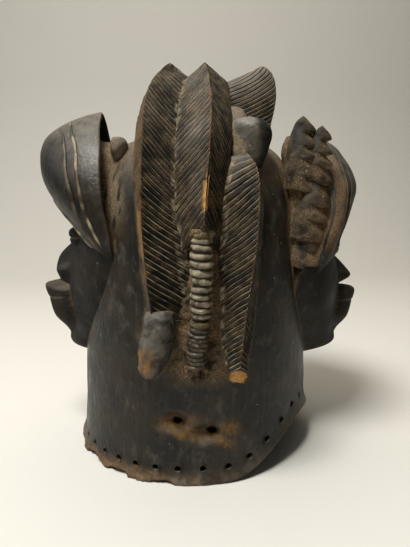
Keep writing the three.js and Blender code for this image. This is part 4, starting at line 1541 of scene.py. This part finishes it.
        # soot, and painted shade on the darker flank and in the bottoms of the grooves
        darkened = np.where(c < 0, *self.blackness)[None, :] + 0.25 * rough_at(base, 13.0, self.seed + 21)
        black = np.clip(darkened + 0.6 * cut[:, None], 0, 1) * (1 - bare)
        black = black * (1 - 0.6 * smooth) * (1 - 0.8 * lines)
        rings = self.closed(grid)
        pad = [(0, 0), (0, rings.shape[1] - grid.shape[1])]
        spread = np.clip(self.dusted * (1 + 1.3 * rough_at(base, 12.0, self.seed + 23)), 0, 1)
        film = np.maximum(0.6 * smooth, spread) * (1 - bare)
        if self.dusty_patch:
            *middle, radius = self.dusty_patch
            off = np.linalg.norm((base - np.array(middle)) * np.array([1, 1, 0.6]), axis=-1) / radius
            film = np.maximum(film, 0.9 * hump(off) * (0.7 + 0.5 * rough_at(base, 4.0, self.seed + 24)))
            black = black * (1 - 0.8 * hump(off))
        dirt = np.clip(self.dirty * (0.5 + 1.2 * rough_at(base, 6.0, self.seed + 25)), 0, 1) * (1 - bare)
        rubs = self.rubbed_keel * crest * ramp(rough_at(base, 5.0, self.seed + 26), 0.2, 0.5) * (1 - bare)
        found = {
            "cut": lines, "worn": worn, "bare": bare, "black": black, "film": film, "dusty": dirt,
            "ochre": np.clip(rubs, 0, 1) * (base[..., 1] < 0),
        }
        marks = {name: np.pad(value, pad) for name, value in found.items()}
        return Skin.lofted(rings, marks).to_object(self.name)


@dataclass
class Comb:
    """The three long ridges over the top of the head and the short feather behind them."""

    wall: Wall
    left_keel: Table = (
        (-37, 0, 366), (-42, 28, 356), (-50, 57, 336), (-54, 79, 312), (-53, 103, 281), (-53, 118, 235),
        (-51, 121, 190), (-46, 118, 140),
    )
    left_foot: Table = (
        (-43, 0, 352), (-48, 24, 346), (-52, 50, 336), (-58, 66, 314), (-60, 91, 282), (-59, 105, 236),
        (-56, 107, 190), (-50, 107, 140),
    )
    left_valley: Table = (
        (-18, 0, 351), (-21, 28, 346), (-26, 58, 322), (-28, 78, 298), (-29, 95, 268), (-28, 105, 230),
        (-24, 109, 190), (-22, 108, 140),
    )
    middle_keel: Table = (
        (-5, 0, 365), (-5, 30, 359), (-2, 62, 340), (0, 94, 310), (-1, 116, 278), (-4, 128, 244),
        (-5, 131, 225), (-6, 122, 206),
    )
    # the middle ridge alone: its flanks end above the plait
    middle_left_foot: Table = (
        (-18, 0, 351), (-21, 28, 346), (-26, 58, 322), (-28, 78, 298), (-29, 95, 268), (-28, 103, 240),
        (-27, 107, 219), (-22, 108, 196),
    )
    right_valley: Table = (
        (13, 0, 350), (13, 28, 344), (14, 60, 320), (14, 84, 294), (12, 99, 264), (9, 105, 240),
        (7, 108, 219), (4, 108, 196),
    )
    lower_valley: Table = (
        (18, 90, 271), (14, 99, 258), (11, 105, 240), (10, 107, 215), (10, 108, 190), (10, 108, 150),
        (11, 109, 118), (15, 108, 96), (18, 107, 78),
    )
    right_keel: Table = (
        (28, 95, 273), (34, 106, 262), (36, 116, 246), (35, 124, 220), (32, 127, 190), (27, 125, 150),
        (24, 121, 118), (22.5, 118, 96), (21, 114, 78),
    )
    right_foot: Table = (
        (35, 70, 262), (39, 82, 256), (42, 92, 244), (41, 98, 220), (39, 101, 190), (35, 103, 150),
        (31.5, 104, 118), (27.5, 104.5, 96), (24.5, 104.5, 78),
    )
    back_valley: Table = (
        (19, 44, 292), (18, 26, 317), (16, 16, 334), (15, 3, 347), (14, -14, 351), (15, -40, 336),
        (16, -66, 310), (18, -90, 272), (26, -108, 206),
    )
    back_keel: Table = (
        (57, 8, 286), (60, 4, 311), (64, 5, 335), (61, 0, 357), (50, -12, 368), (52, -38, 356),
        (57, -68, 328), (58, -98, 276), (34, -110, 190),
    )
    back_foot: Table = (
        (56, -8, 280), (58, -10, 300), (62, -8, 322), (60, -14, 338), (54, -24, 346), (54, -40, 335),
        (58, -60, 310), (60, -82, 264), (42, -104, 206),
    )
    # points that the ridges run down to behind the head
    left_tail: Table = ((-46, -102, 158), (-41, -107, 132), (-35, -106, 158))
    middle_tail: Table = ((-17, -108, 204), (-8, -112, 186), (1, -108, 204))

    def build(self) -> list[Thing]:
        """Builds all four ridges.

        Returns:
            A piece for each.
        """
        left = [over_top(rows, end) for rows, end in zip(
            (self.left_foot, self.left_keel, self.left_valley), self.left_tail)]
        middle = [over_top(rows, end) for rows, end in zip(
            (self.middle_left_foot, self.middle_keel, self.right_valley), self.middle_tail)]
        ridges = [
            Ridge(self.wall, "left_ridge", *left, seed=5, pitch=5.5, rubbed_keel=1.0,
                  blackness=(0.1, 0.95), left_lines=0.2, bare_edge=(186.0, 262.0), worn_out=0.14,
                  valley_side=1, top_round=0.3, chip=(-31.0, -16.0, 358.0, 7.0, 2.6)),
            Ridge(self.wall, "middle_ridge", *middle, seed=6, pitch=5.8, rubbed_keel=0.75,
                  splinter=(228.0, 257.0, 0.17), blackness=(0.6, 0.95), valley_side=-1, dusted=0.2, dirty=0.3,
                  dusty_patch=(-12.0, -98.0, 291.0, 15.0)),
            Ridge(self.wall, "lower_right_ridge", self.lower_valley, self.right_keel, self.right_foot,
                  seed=7, rubbed_keel=0.35, blackness=(0.6, 0.75), dusted=0.12, valley_side=-1, dirty=0.22,
                  break_at=(11.3, -112.0, 93.0)),
            Ridge(self.wall, "back_feather", self.back_valley, self.back_keel, self.back_foot, seed=8,
                  rubbed_keel=0.3, blackness=(0.3, 0.6), end_run=7.0, turns_past_top=34.0, dusted=0.15),
        ]
        return [ridge.build() for ridge in ridges]


@dataclass
class Plait:
    """Ringed plait under the middle ridge: a broken lump, bold rings, a crack, then fine worn rings."""

    wall: Wall
    name: str = "ringed_plait"
    run: Table = (
        (-17, 113, 214), (-18, 117, 198), (-18, 117, 176), (-18, 115, 156), (-19, 112, 138), (-21, 109, 120),
        (-22, 107, 101),
    )
    # share of the run and radius of the stem
    stem: Table = ((0, 6.4), (0.55, 6.3), (0.63, 7.2), (0.7, 7.4), (1, 7.2))
    # from and to along the run, number of rings, thickness of a ring, how far it stands out
    bold: tuple[float, float, int, float, float] = (0.10, 0.59, 11, 2.6, 1.9)
    fine: tuple[float, float, int, float, float] = (0.66, 0.985, 10, 1.9, 0.8)
    crack: float = 0.622
    # points round a ring and round its section
    ring_points: tuple[int, int] = (56, 12)
    # least and most that a ring is tilted, in radians, and swollen
    tilt: tuple[Triple, Triple] = ((-0.09, -0.16, -0.5), (0.09, 0.16, 0.5))
    swell: tuple[Triple, Triple] = ((0.94, 1.10, 0.80), (1.06, 1.20, 1.12))
    ring_seed: int = 7
    # share of pale dust and painted highlight on the crests of the bold and of the fine rings
    pale: Pair = (0.36, 0.05)

    def core(self) -> Skin:
        """Shapes the stem under the rings, with the broken lump at its top.

        Returns:
            The stem with its marks.
        """
        s = np.linspace(0, 1, 260)
        angle = np.linspace(0, 2 * math.pi, 72, endpoint=False)
        size = along(self.stem, s) + 3.2 * hump((s - 0.04) / 0.085)
        size = size + 0.9 * hump((s - self.crack - 0.028) / 0.05)
        size = size - 3.0 * np.exp(-((s - self.crack) / 0.008) ** 2) - 2.5 * ramp(s, 0.97, 1.0)
        middle = course(self.run, s)
        ring = np.stack([
            middle[:, None, 0] + size[:, None] * np.cos(angle)[None, :],
            middle[:, None, 1] + 1.15 * size[:, None] * np.sin(angle)[None, :],
            np.broadcast_to(middle[:, None, 2], (len(s), len(angle))),
        ], -1)
        broken = hump((s - 0.03) / 0.12) + 0.7 * hump((s - self.crack - 0.02) / 0.05)
        jagged = rough_at(ring, 4.0, 71) + 0.6 * rough_at(ring, 1.8, 72)
        out = ring - middle[:, None]
        out /= np.linalg.norm(out, axis=-1, keepdims=True)
        ring = ring + out * (0.25 * jagged + 1.3 * jagged * broken[:, None])[..., None]
        broken = np.clip(broken, 0, 1)[:, None] * np.ones(ring.shape[:2])
        # painted shade on the stem, which shows only between the rings, and dust on the broken lump
        marks = {
            "dusty": 0.9 * broken, "black": 0.4 * (1 - broken), "film": 0.2 * (1 - broken),
            "ochre": 0.5 * broken * (jagged > 0.3),
        }
        return Skin.lofted(self.wall.tucked(ring), marks)

    def ring_tree(self) -> tuple[Tree, TreeInputs]:
        """Builds the Geometry Nodes that set a ring on every point, tilted and swollen by chance.

        Returns:
            The tree and its inputs.
        """
        tree, inputs = geometry_tree("rings_along_plait", ("Radius", "Thickness"), ("Seed",))
        add = partial(tree_node, tree)
        start = inputs.node.outputs
        spot = add("GeometryNodeMeshToPoints", {}, {0: start[0]})
        circle, section = (
            add("GeometryNodeCurvePrimitiveCircle", {"Resolution": count}, {"Radius": start[name]})
            for count, name in zip(self.ring_points, ("Radius", "Thickness"))
        )
        loop = add("GeometryNodeCurveToMesh", {}, {0: circle.outputs[0], 1: section.outputs[0]})
        index = add("GeometryNodeInputIndex").outputs[0]
        tilt, swell = (
            add(
                "FunctionNodeRandomValue", {"data_type": "FLOAT_VECTOR", 0: least, 1: most},
                {"Seed": start["Seed"], **by_index},
            ).outputs[0]
            for (least, most), by_index in ((self.tilt, {}), (self.swell, {"ID": index}))
        )
        set_out = add(
            "GeometryNodeInstanceOnPoints", {},
            {"Points": spot.outputs[0], "Instance": loop.outputs[0], "Rotation": tilt, "Scale": swell},
        )
        close_tree(tree, set_out.outputs[0])
        return tree, inputs

    def rings(self) -> list[Thing]:
        """Sets both runs of rings along the stem, by a fixed seed.

        Returns:
            A mesh for each run.
        """
        made = []
        for name, run in (("bold_rings", self.bold), ("fine_rings", self.fine)):
            start, stop, count, thick, stands = run
            path = bpy.data.meshes.new(name)
            places = (course(self.run, np.linspace(start, stop, count)) + CENTRING) * MILLIMETRE
            path.from_pydata(places.tolist(), [(i, i + 1) for i in range(count - 1)], [])
            size = (float(along(self.stem, np.array([start]))[0]) + stands - thick) * MILLIMETRE
            values = {"Radius": size, "Thickness": thick * MILLIMETRE, "Seed": self.ring_seed}
            made.append(run_tree(linked_object(name, path), *self.ring_tree(), values))
        return made

    def build(self) -> Thing:
        """Builds the stem and its rings.

        Returns:
            One mesh with its marks.
        """
        skins = [self.core()]
        for thing, strong in zip(self.rings(), self.pale):
            loops = Skin.of(thing)
            middle = course(self.run, np.linspace(0, 1, 400))
            near = np.round(np.interp(-loops.points[:, 2], -middle[:, 2], np.arange(400.0))).astype(int)
            out = loops.points - middle[near]
            radius = along(self.stem, near / 399)
            out[:, 2] = 0
            far = np.linalg.norm(out, axis=1)
            out /= np.maximum(far, 1e-6)[:, None]
            lump = 1.1 * rough_at(loops.points, 3.6, 73) + 0.7 * rough_at(loops.points, 1.8, 74)
            loops.points = self.wall.tucked(loops.points + out * lump[:, None])
            rubbed = ramp(far - radius + lump, 0.2, 2.4)
            uneven = 0.75 + 0.5 * rough_at(loops.points, 6.0, 75)
            # pale dust and painted highlight on the crests of the rings, painted shade and dust between them
            loops.marks = {
                "cut": np.clip(strong * rubbed**2.5 * uneven, 0, 1), "black": 0.5 * (1 - rubbed),
                "dusty": 0.6 * (1 - rubbed), "film": (0.15 + strong) * rubbed,
            }
            skins.append(loops)
        return Skin.joined(skins).to_object(self.name)


@dataclass
class Knob:
    """Bud or knob of wood lofted along a leaning axis."""

    wall: Wall
    name: str
    # rows from the top down: share of the run, x, y forward and height of the middle, half width and depth
    sections: Table
    seed: int = 81
    lumpy: float = 0.5
    dusty: float = 0.0
    greyed: float = 0.0
    # how much darker its right side is
    shaded: float = 0.0
    # angle of the rubbed side and the height below which it is rubbed to bare wood
    rubbed_side: Pair | None = None

    def build(self) -> Thing:
        """Builds the knob.

        Returns:
            One closed mesh with its marks.
        """
        s = np.linspace(0, 1, 110)
        angle = np.linspace(0, 2 * math.pi, 96, endpoint=False)
        x, y, z, wide, deep = (along(self.sections, s, column)[:, None] for column in range(1, 6))
        ring = np.stack([x + wide * np.cos(angle), -y + deep * np.sin(angle), z + 0 * angle], -1)
        middle = np.stack([x + 0 * angle, -y + 0 * angle, z + 0 * angle], -1)
        out = ring - middle
        out /= np.maximum(np.linalg.norm(out, axis=-1, keepdims=True), 1e-6)
        lump = rough_at(ring, 9.0, self.seed) + 0.4 * rough_at(ring, 3.2, self.seed + 1)
        lump = self.lumpy * lump
        fade = np.minimum(1, np.minimum(wide, deep) / 6)
        ring = ring + out * (lump * fade)[..., None]
        # painted shade on the right side, turned from the light; the grey film of dust and painted sheen lies
        # on the rest
        facing_right = np.cos(angle)[None, :] + 0.35 * rough_at(ring, 7.0, self.seed + 5)
        away = self.shaded * ramp(facing_right, -0.1, 0.7)
        patches = 0.6 * rough_at(ring, 2.3, self.seed + 6) + 0.8 * rough_at(ring, 6.0, self.seed + 4)
        mottled = 1 - min(self.lumpy, 1) ** 2 * ramp(-patches, -0.2, 0.5)
        grey = self.greyed * (0.4 + 0.6 * mottled) * (1 - away)
        black = 0.65 * away + self.greyed * 0.5 * (1 - mottled)
        marks = {
            "dusty": np.full(ring.shape[:2], self.dusty), "film": np.clip(grey, 0, 1),
            "black": np.clip(black, 0, 1),
        }
        if self.rubbed_side:
            side, height = self.rubbed_side
            facing = hump((np.degrees(angle)[None, :] - side + 180) % 360 / 70 - 180 / 70)
            low = 1 - ramp(z, height - 14, height)
            streaks = ramp(rough_at(ring * np.array([1, 1, 0.16]), 2.2, self.seed + 2), -0.35, 0.25)
            marks["ochre"] = facing * low * streaks
            marks["film"] = marks["film"] * (1 - facing * low)
            marks["bare"] = 0.3 * facing * low * streaks
            marks["worn"] = facing * low
        return Skin.lofted(self.wall.tucked(ring), marks).to_object(self.name)


BUD_SECTIONS: Table = (
    (0.0, 25, 70, 304, 1.5, 1.5), (0.04, 25, 70, 303.4, 7, 7), (0.14, 25.5, 70, 301, 13.5, 13),
    (0.32, 26.5, 70, 296, 18, 16.5), (0.5, 26.5, 71, 288.5, 18.5, 17), (0.68, 25.5, 72, 280, 17.5, 15.5),
    (0.85, 24, 74, 271, 15.5, 13), (1.0, 24, 76, 262, 12, 9),
)
BUD_GROUND: Table = (
    (0.0, 14, 44, 317, 1.5, 1.5), (0.06, 14.5, 47, 316, 7, 8), (0.2, 16, 56, 310, 9, 10),
    (0.5, 17, 66, 296, 10.5, 12), (0.75, 16.5, 74, 281, 10.5, 13), (0.92, 16, 80, 270, 8, 11),
    (1.0, 16, 82, 266, 5, 7),
)
KNOB_SECTIONS: Table = (
    (0.0, -50, 106, 150, 3, 3), (0.05, -50, 106, 149.3, 8, 9), (0.2, -50.5, 107, 144, 11.5, 13),
    (0.42, -51.5, 107, 131, 13.8, 15), (0.6, -54, 106.5, 118, 13.4, 14.5), (0.8, -57.5, 106, 104, 10.5, 11.5),
    (0.95, -59.5, 105, 94.5, 5.5, 7), (1.0, -60, 104.5, 92.5, 2, 3),
)
LUMP_SECTIONS: Table = (
    (0.0, -85, 50, 290, 1.5, 1.5), (0.1, -85, 50, 289, 5, 6), (0.4, -84.5, 49, 284, 7.5, 10),
    (0.7, -85, 48, 277, 7, 10), (1.0, -86, 46, 268, 3, 5),
)


@dataclass
class HairCrest:
    """Broken comb of hair between the block and the right hood: leaves of folded hair, one above another."""

    wall: Wall
    name: str = "hair_crest"
    # leaves: foot x, y forward, z; tip x, y, z; half width and half depth at the foot; folds; seed
    leaves: Table = (
        (77, 55, 246, 75, 63, 307.5, 18, 17, 5, 1), (86, 60, 254, 90.5, 67, 299, 13, 14, 4, 2),
        (80, 57, 203, 91.5, 66, 265, 17, 17, 4, 3), (79, 56, 178, 84, 63, 223, 16, 15, 2.6, 4),
    )
    # body behind the leaves: height, left edge, right edge, half depth
    body_rows: Table = (
        (176, 70, 88, 12), (196, 65, 93, 15), (235, 64, 97, 17), (262, 63, 98, 17), (281, 60, 93, 15),
        (292, 64, 84, 9),
    )
    body_forward: float = 50.0
    fold_stands: float = 6.4

    def body(self) -> Skin:
        """Shapes the rough ground that the leaves stand on.

        Returns:
            The ground with its marks.
        """
        z = np.linspace(176, 292, 110)[:, None]
        angle = np.linspace(0, 2 * math.pi, 96, endpoint=False)[None, :]
        left, right, deep = (along(self.body_rows, z, column) for column in (1, 2, 3))
        ring = np.stack([
            (left + right) / 2 + (right - left) / 2 * squared(np.cos(angle), 2.6),
            -self.body_forward + deep * squared(np.sin(angle), 2.6),
            z + 0 * angle,
        ], -1)
        ring[..., 1] += 0.9 * rough_at(ring, 6.0, 91) + 0.5 * rough_at(ring, 2.6, 92)
        ring[..., 0] += 0.5 * rough_at(ring, 6.0, 93)
        return Skin.lofted(ring, {"dusty": np.full(ring.shape[:2], 0.9)})

    def leaf(self, row: tuple[float, ...]) -> Skin:
        """Shapes a leaf: smooth on its left, folded into lobes on its right, drawn to a blunt tip.

        Args:
            row: the leaf's sizes.

        Returns:
            The leaf with its marks.
        """
        x0, y0, z0, x1, y1, z1, wide, deep, folds, seed = row
        s = np.linspace(0, 1, 150)[:, None]
        angle = np.linspace(0, 2 * math.pi, 96, endpoint=False)[None, :]
        size = (1 - s**1.5) ** 0.75 * 0.68 + 0.32 * np.sqrt(np.clip(1 - s**8, 0, 1))
        phase = (s * folds + 0.1 * np.sin(s * 9 + seed)) % 1.0
        bump = ramp(phase, 0.0, 0.22) * (1 - 0.75 * ramp(phase, 0.35, 1.0))
        folded = hump(((np.degrees(angle) - 334 + 180) % 360 - 180) / 108)
        stand = self.fold_stands * (bump - 0.6) * folded * np.clip(size * 1.6, 0.4, 1)
        droop = -0.32 * wide * size * np.clip(np.cos(angle - math.radians(-42)), 0, 1)
        across, forward = (wide * size + stand) * np.cos(angle), (deep * size + stand) * np.sin(angle)
        ring = np.stack([
            x0 + (x1 - x0) * s**1.2 + across, -(y0 + (y1 - y0) * s) + forward, z0 + (z1 - z0) * s + droop,
        ], -1)
        rough = rough_at(ring, 4.5, 94 + int(seed))
        ring[..., :2] += 0.45 * rough[..., None]
        # painted shade in the clefts between the folds, darker towards the tip; tan dust with painted
        # highlights on the fold tops
        cleft = (1 - bump) ** 1.5 * folded
        patchy = 0.5 + 0.8 * rough_at(ring, 7.0, 98 + int(seed))
        low = 1 - ramp(s, 0.25, 0.75)
        tan = 0.7 * patchy * low + 0.8 * ramp(bump, 0.1, 0.4) * (1 - ramp(bump, 0.5, 0.8)) * folded
        marks = {
            "black": np.clip(1.2 * cleft + 0.5 * ramp(s, 0.3, 0.9) + 0.2 * (1 - patchy), 0, 1),
            "dusty": np.clip(tan, 0, 1), "ochre": np.clip(0.4 * tan * folded, 0, 1),
            "film": np.clip(0.35 * (1 - folded) * (0.4 + patchy) * (1 - low), 0, 1),
            "worn": 0.4 * bump * folded,
        }
        return Skin.lofted(ring, marks)

    def build(self) -> Thing:
        """Builds the body and its leaves.

        Returns:
            One mesh with its marks.
        """
        whole = Skin.joined([self.body()] + [self.leaf(row) for row in self.leaves])
        whole.points = self.wall.tucked(whole.points)
        return whole.to_object(self.name)


@dataclass
class Weathering:
    """Finds hollows and edges of the whole carving, for dirt and for rubbed wood."""

    voxel: float = 2.0
    # cells of air kept round the part
    margin: int = 12
    # millimetres over which the wood near a place is averaged, and the share of wood where dirt starts
    # and where it is full
    spans: Pair = (2.6, 6.5)
    hollows: Table = ((0.56, 0.74), (0.57, 0.72))
    # how far under a half that share is where rubbing starts and where it is full
    edges: Pair = (0.08, 0.24)

    def blurred(self, solid: Array, span: float) -> Array:
        """Blurs a block of values.

        Args:
            solid: the values.
            span: width of the blur in millimetres.

        Returns:
            The blurred block.
        """
        sigma = span / self.voxel
        reach = int(math.ceil(sigma * 2.5))
        weights = np.exp(-0.5 * (np.arange(-reach, reach + 1) / sigma) ** 2)
        weights /= weights.sum()
        for axis in range(3):
            out = np.zeros_like(solid)
            for offset, weight in zip(range(-reach, reach + 1), weights):
                out += weight * np.roll(solid, offset, axis=axis)
            solid = out
        return solid

    @staticmethod
    def read(block: Array, cells: Array) -> Array:
        """Reads a block of values between its cells.

        Args:
            block: the values.
            cells: places counted in cells.

        Returns:
            A value for each place.
        """
        base = np.floor(cells).astype(int)
        f = cells - base
        total = np.zeros(len(cells))
        for corner in range(8):
            d = np.array([corner & 1, corner >> 1 & 1, corner >> 2 & 1])
            i = base + d
            total += np.prod(np.where(d, f, 1 - f), axis=1) * block[i[:, 0], i[:, 1], i[:, 2]]
        return total

    def mark(self, things: list[Thing]) -> None:
        """Writes recess and edge values on every piece.

        Args:
            things: all pieces of the carving.
        """
        points, faces, start = [], [], 0
        for thing in things:
            mesh = thing.data
            mesh.calc_loop_triangles()
            corners = np.zeros(len(mesh.loop_triangles) * 3, np.int32)
            mesh.loop_triangles.foreach_get("vertices", corners)
            points.append(places_of(thing))
            faces.append(corners.reshape(-1, 3) + start)
            start += len(mesh.vertices)
        every = np.vstack(points)
        low = np.floor(every.min(0) / self.voxel).astype(int) - self.margin
        size = np.ceil(every.max(0) / self.voxel).astype(int) + self.margin - low
        distance = openvdb.FloatGrid.createLevelSetFromPolygons(
            every, triangles=np.vstack(faces).astype(np.uint32),
            transform=openvdb.createLinearTransform(voxelSize=self.voxel), halfWidth=3.0,
        )
        block = np.zeros(tuple(size), np.float32)
        distance.copyToArray(block, ijk=tuple(int(v) for v in low))
        solid = np.clip(0.5 - block / self.voxel, 0, 1).astype(np.float32)
        blocks = [self.blurred(solid, span) for span in self.spans]
        for thing, place in zip(things, points):
            near = [self.read(averaged, place / self.voxel - low) for averaged in blocks]
            recess = np.maximum(*(ramp(value, *limits) for value, limits in zip(near, self.hollows)))
            set_mark(thing, "recess", recess)
            set_mark(thing, "edge", ramp(0.5 - near[0], *self.edges))


@dataclass(frozen=True)
class SoftLight:
    """Square soft light of the room, aimed at the middle of the part unless told otherwise."""

    name: str
    at: Triple
    size: float
    power: float
    colour: str
    aim: Triple = (0.0, 0.0, 0.2)

    def build(self) -> None:
        """Sets the light in the scene."""
        data = bpy.data.lights.new(self.name, "AREA")
        data.shape, data.size, data.energy = "SQUARE", self.size, self.power
        data.color = linear(self.colour)[:3]
        lamp = linked_object(self.name, data)
        lamp.location = self.at
        lamp.rotation_euler = (Vector(self.aim) - Vector(self.at)).to_track_quat("-Z", "Y").to_euler()


@dataclass
class Studio:
    """Pale floor that sweeps up behind, soft lights, and the camera at the photograph's place."""

    camera_at: Triple = (-0.0377, -0.4416, 0.2315)
    camera_aim: Triple = (0.0861, 0.9839, -0.1564)
    lens_mm: float = 28.3
    # floor in metres: half its width, its front edge, where it starts to sweep up, radius and top of the wall
    floor_half: float = 3.0
    floor_front: float = -2.5
    sweep_from: float = 0.9
    sweep: float = 0.8
    wall_top: float = 3.0
    lights: tuple[SoftLight, ...] = (
        SoftLight("window_above", (-0.42, -0.52, 1.6), 0.5, 36, "#fffdf9"),
        SoftLight("room_left", (-1.6, -0.05, 1.0), 0.9, 4.5, "#f2f6ff"),
        SoftLight("ceiling", (0.0, 1.1, 2.6), 2.4, 33, "#fff6e6", aim=(0.0, 1.0, 0.0)),
    )
    air_colour: str = "#f4f1e6"
    air_strength: float = 0.08

    def floor(self) -> Thing:
        """Makes the floor, swept up to a wall far behind the part.

        Returns:
            The floor.
        """
        start, radius = self.sweep_from, self.sweep
        profile = [(self.floor_front, 0.0), (start, 0.0)]
        for a in np.linspace(0, math.pi / 2, 24)[1:]:
            profile.append((start + radius * math.sin(a), radius - radius * math.cos(a)))
        profile.append((start + radius, self.wall_top))
        points = [(x, y, z) for x in (-self.floor_half, self.floor_half) for y, z in profile]
        n = len(profile)
        mesh = bpy.data.meshes.new("pale_floor")
        mesh.from_pydata(points, [], [(i, i + n, i + n + 1, i + 1) for i in range(n - 1)])
        mesh.materials.append(PaleFloor().material())
        mesh.shade_smooth()
        return linked_object("pale_floor", mesh)

    def build(self) -> None:
        """Sets the whole stage."""
        self.floor()
        for light in self.lights:
            light.build()
        world = bpy.data.worlds.new("soft_room")
        bpy.context.scene.world = world
        world.use_nodes = True
        air = world.node_tree.nodes["Background"]
        air.inputs["Color"].default_value = linear(self.air_colour)
        air.inputs["Strength"].default_value = self.air_strength
        # the photograph's tones are plain display tones
        bpy.context.scene.view_settings.view_transform = "Standard"
        data = bpy.data.cameras.new("photo_camera")
        data.sensor_width, data.lens = 36.0, self.lens_mm
        data.clip_start, data.clip_end = 0.01, 20.0
        camera = linked_object("photo_camera", data)
        camera.location = self.camera_at
        camera.rotation_euler = Vector(self.camera_aim).to_track_quat("-Z", "Y").to_euler()
        bpy.context.scene.camera = camera


def dress(things: list[Thing], wood: bpy.types.Material) -> None:
    """Gives every piece the wood, smooth shading with its hard edges kept, and its place on the part.

    Args:
        things: all pieces of the carving.
        wood: their material.
    """
    for thing in things:
        thing.data.materials.clear()
        thing.data.materials.append(wood)
        thing.data.shade_smooth()
        thing.data.set_sharp_from_angle(angle=math.radians(HARD_EDGE))
        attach(thing, "root")
        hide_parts(NODE)
        log.info("%s: %d faces", thing.name, len(thing.data.polygons))


def main() -> None:
    """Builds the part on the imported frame, then the stage."""
    logging.basicConfig(level=logging.INFO, format="%(name)s %(message)s")
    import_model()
    Studio().build()
    wall = Wall()
    things = [wall.build(), Head(wall, Side.LEFT).build(), Head(wall, Side.RIGHT).build()]
    things += Comb(wall).build()
    things += [
        Plait(wall).build(),
        Knob(wall, "bud", BUD_SECTIONS, seed=81, lumpy=0.7, greyed=0.9, shaded=1.0).build(),
        Knob(wall, "lower_knob", KNOB_SECTIONS, seed=84, lumpy=1.5, greyed=0.6, shaded=0.6,
             rubbed_side=(222.0, 124.0)).build(),
        Knob(wall, "lump_behind_hood", LUMP_SECTIONS, seed=87, lumpy=0.8, dusty=0.45, greyed=1.0).build(),
        Knob(wall, "ground_by_bud", BUD_GROUND, seed=90, lumpy=1.3, dusty=0.5, greyed=0.8).build(),
        HairCrest(wall).build(),
    ]
    Weathering().mark(things)
    dress(things, BlackenedWood().material())


if __name__ == "__main__":
    main()
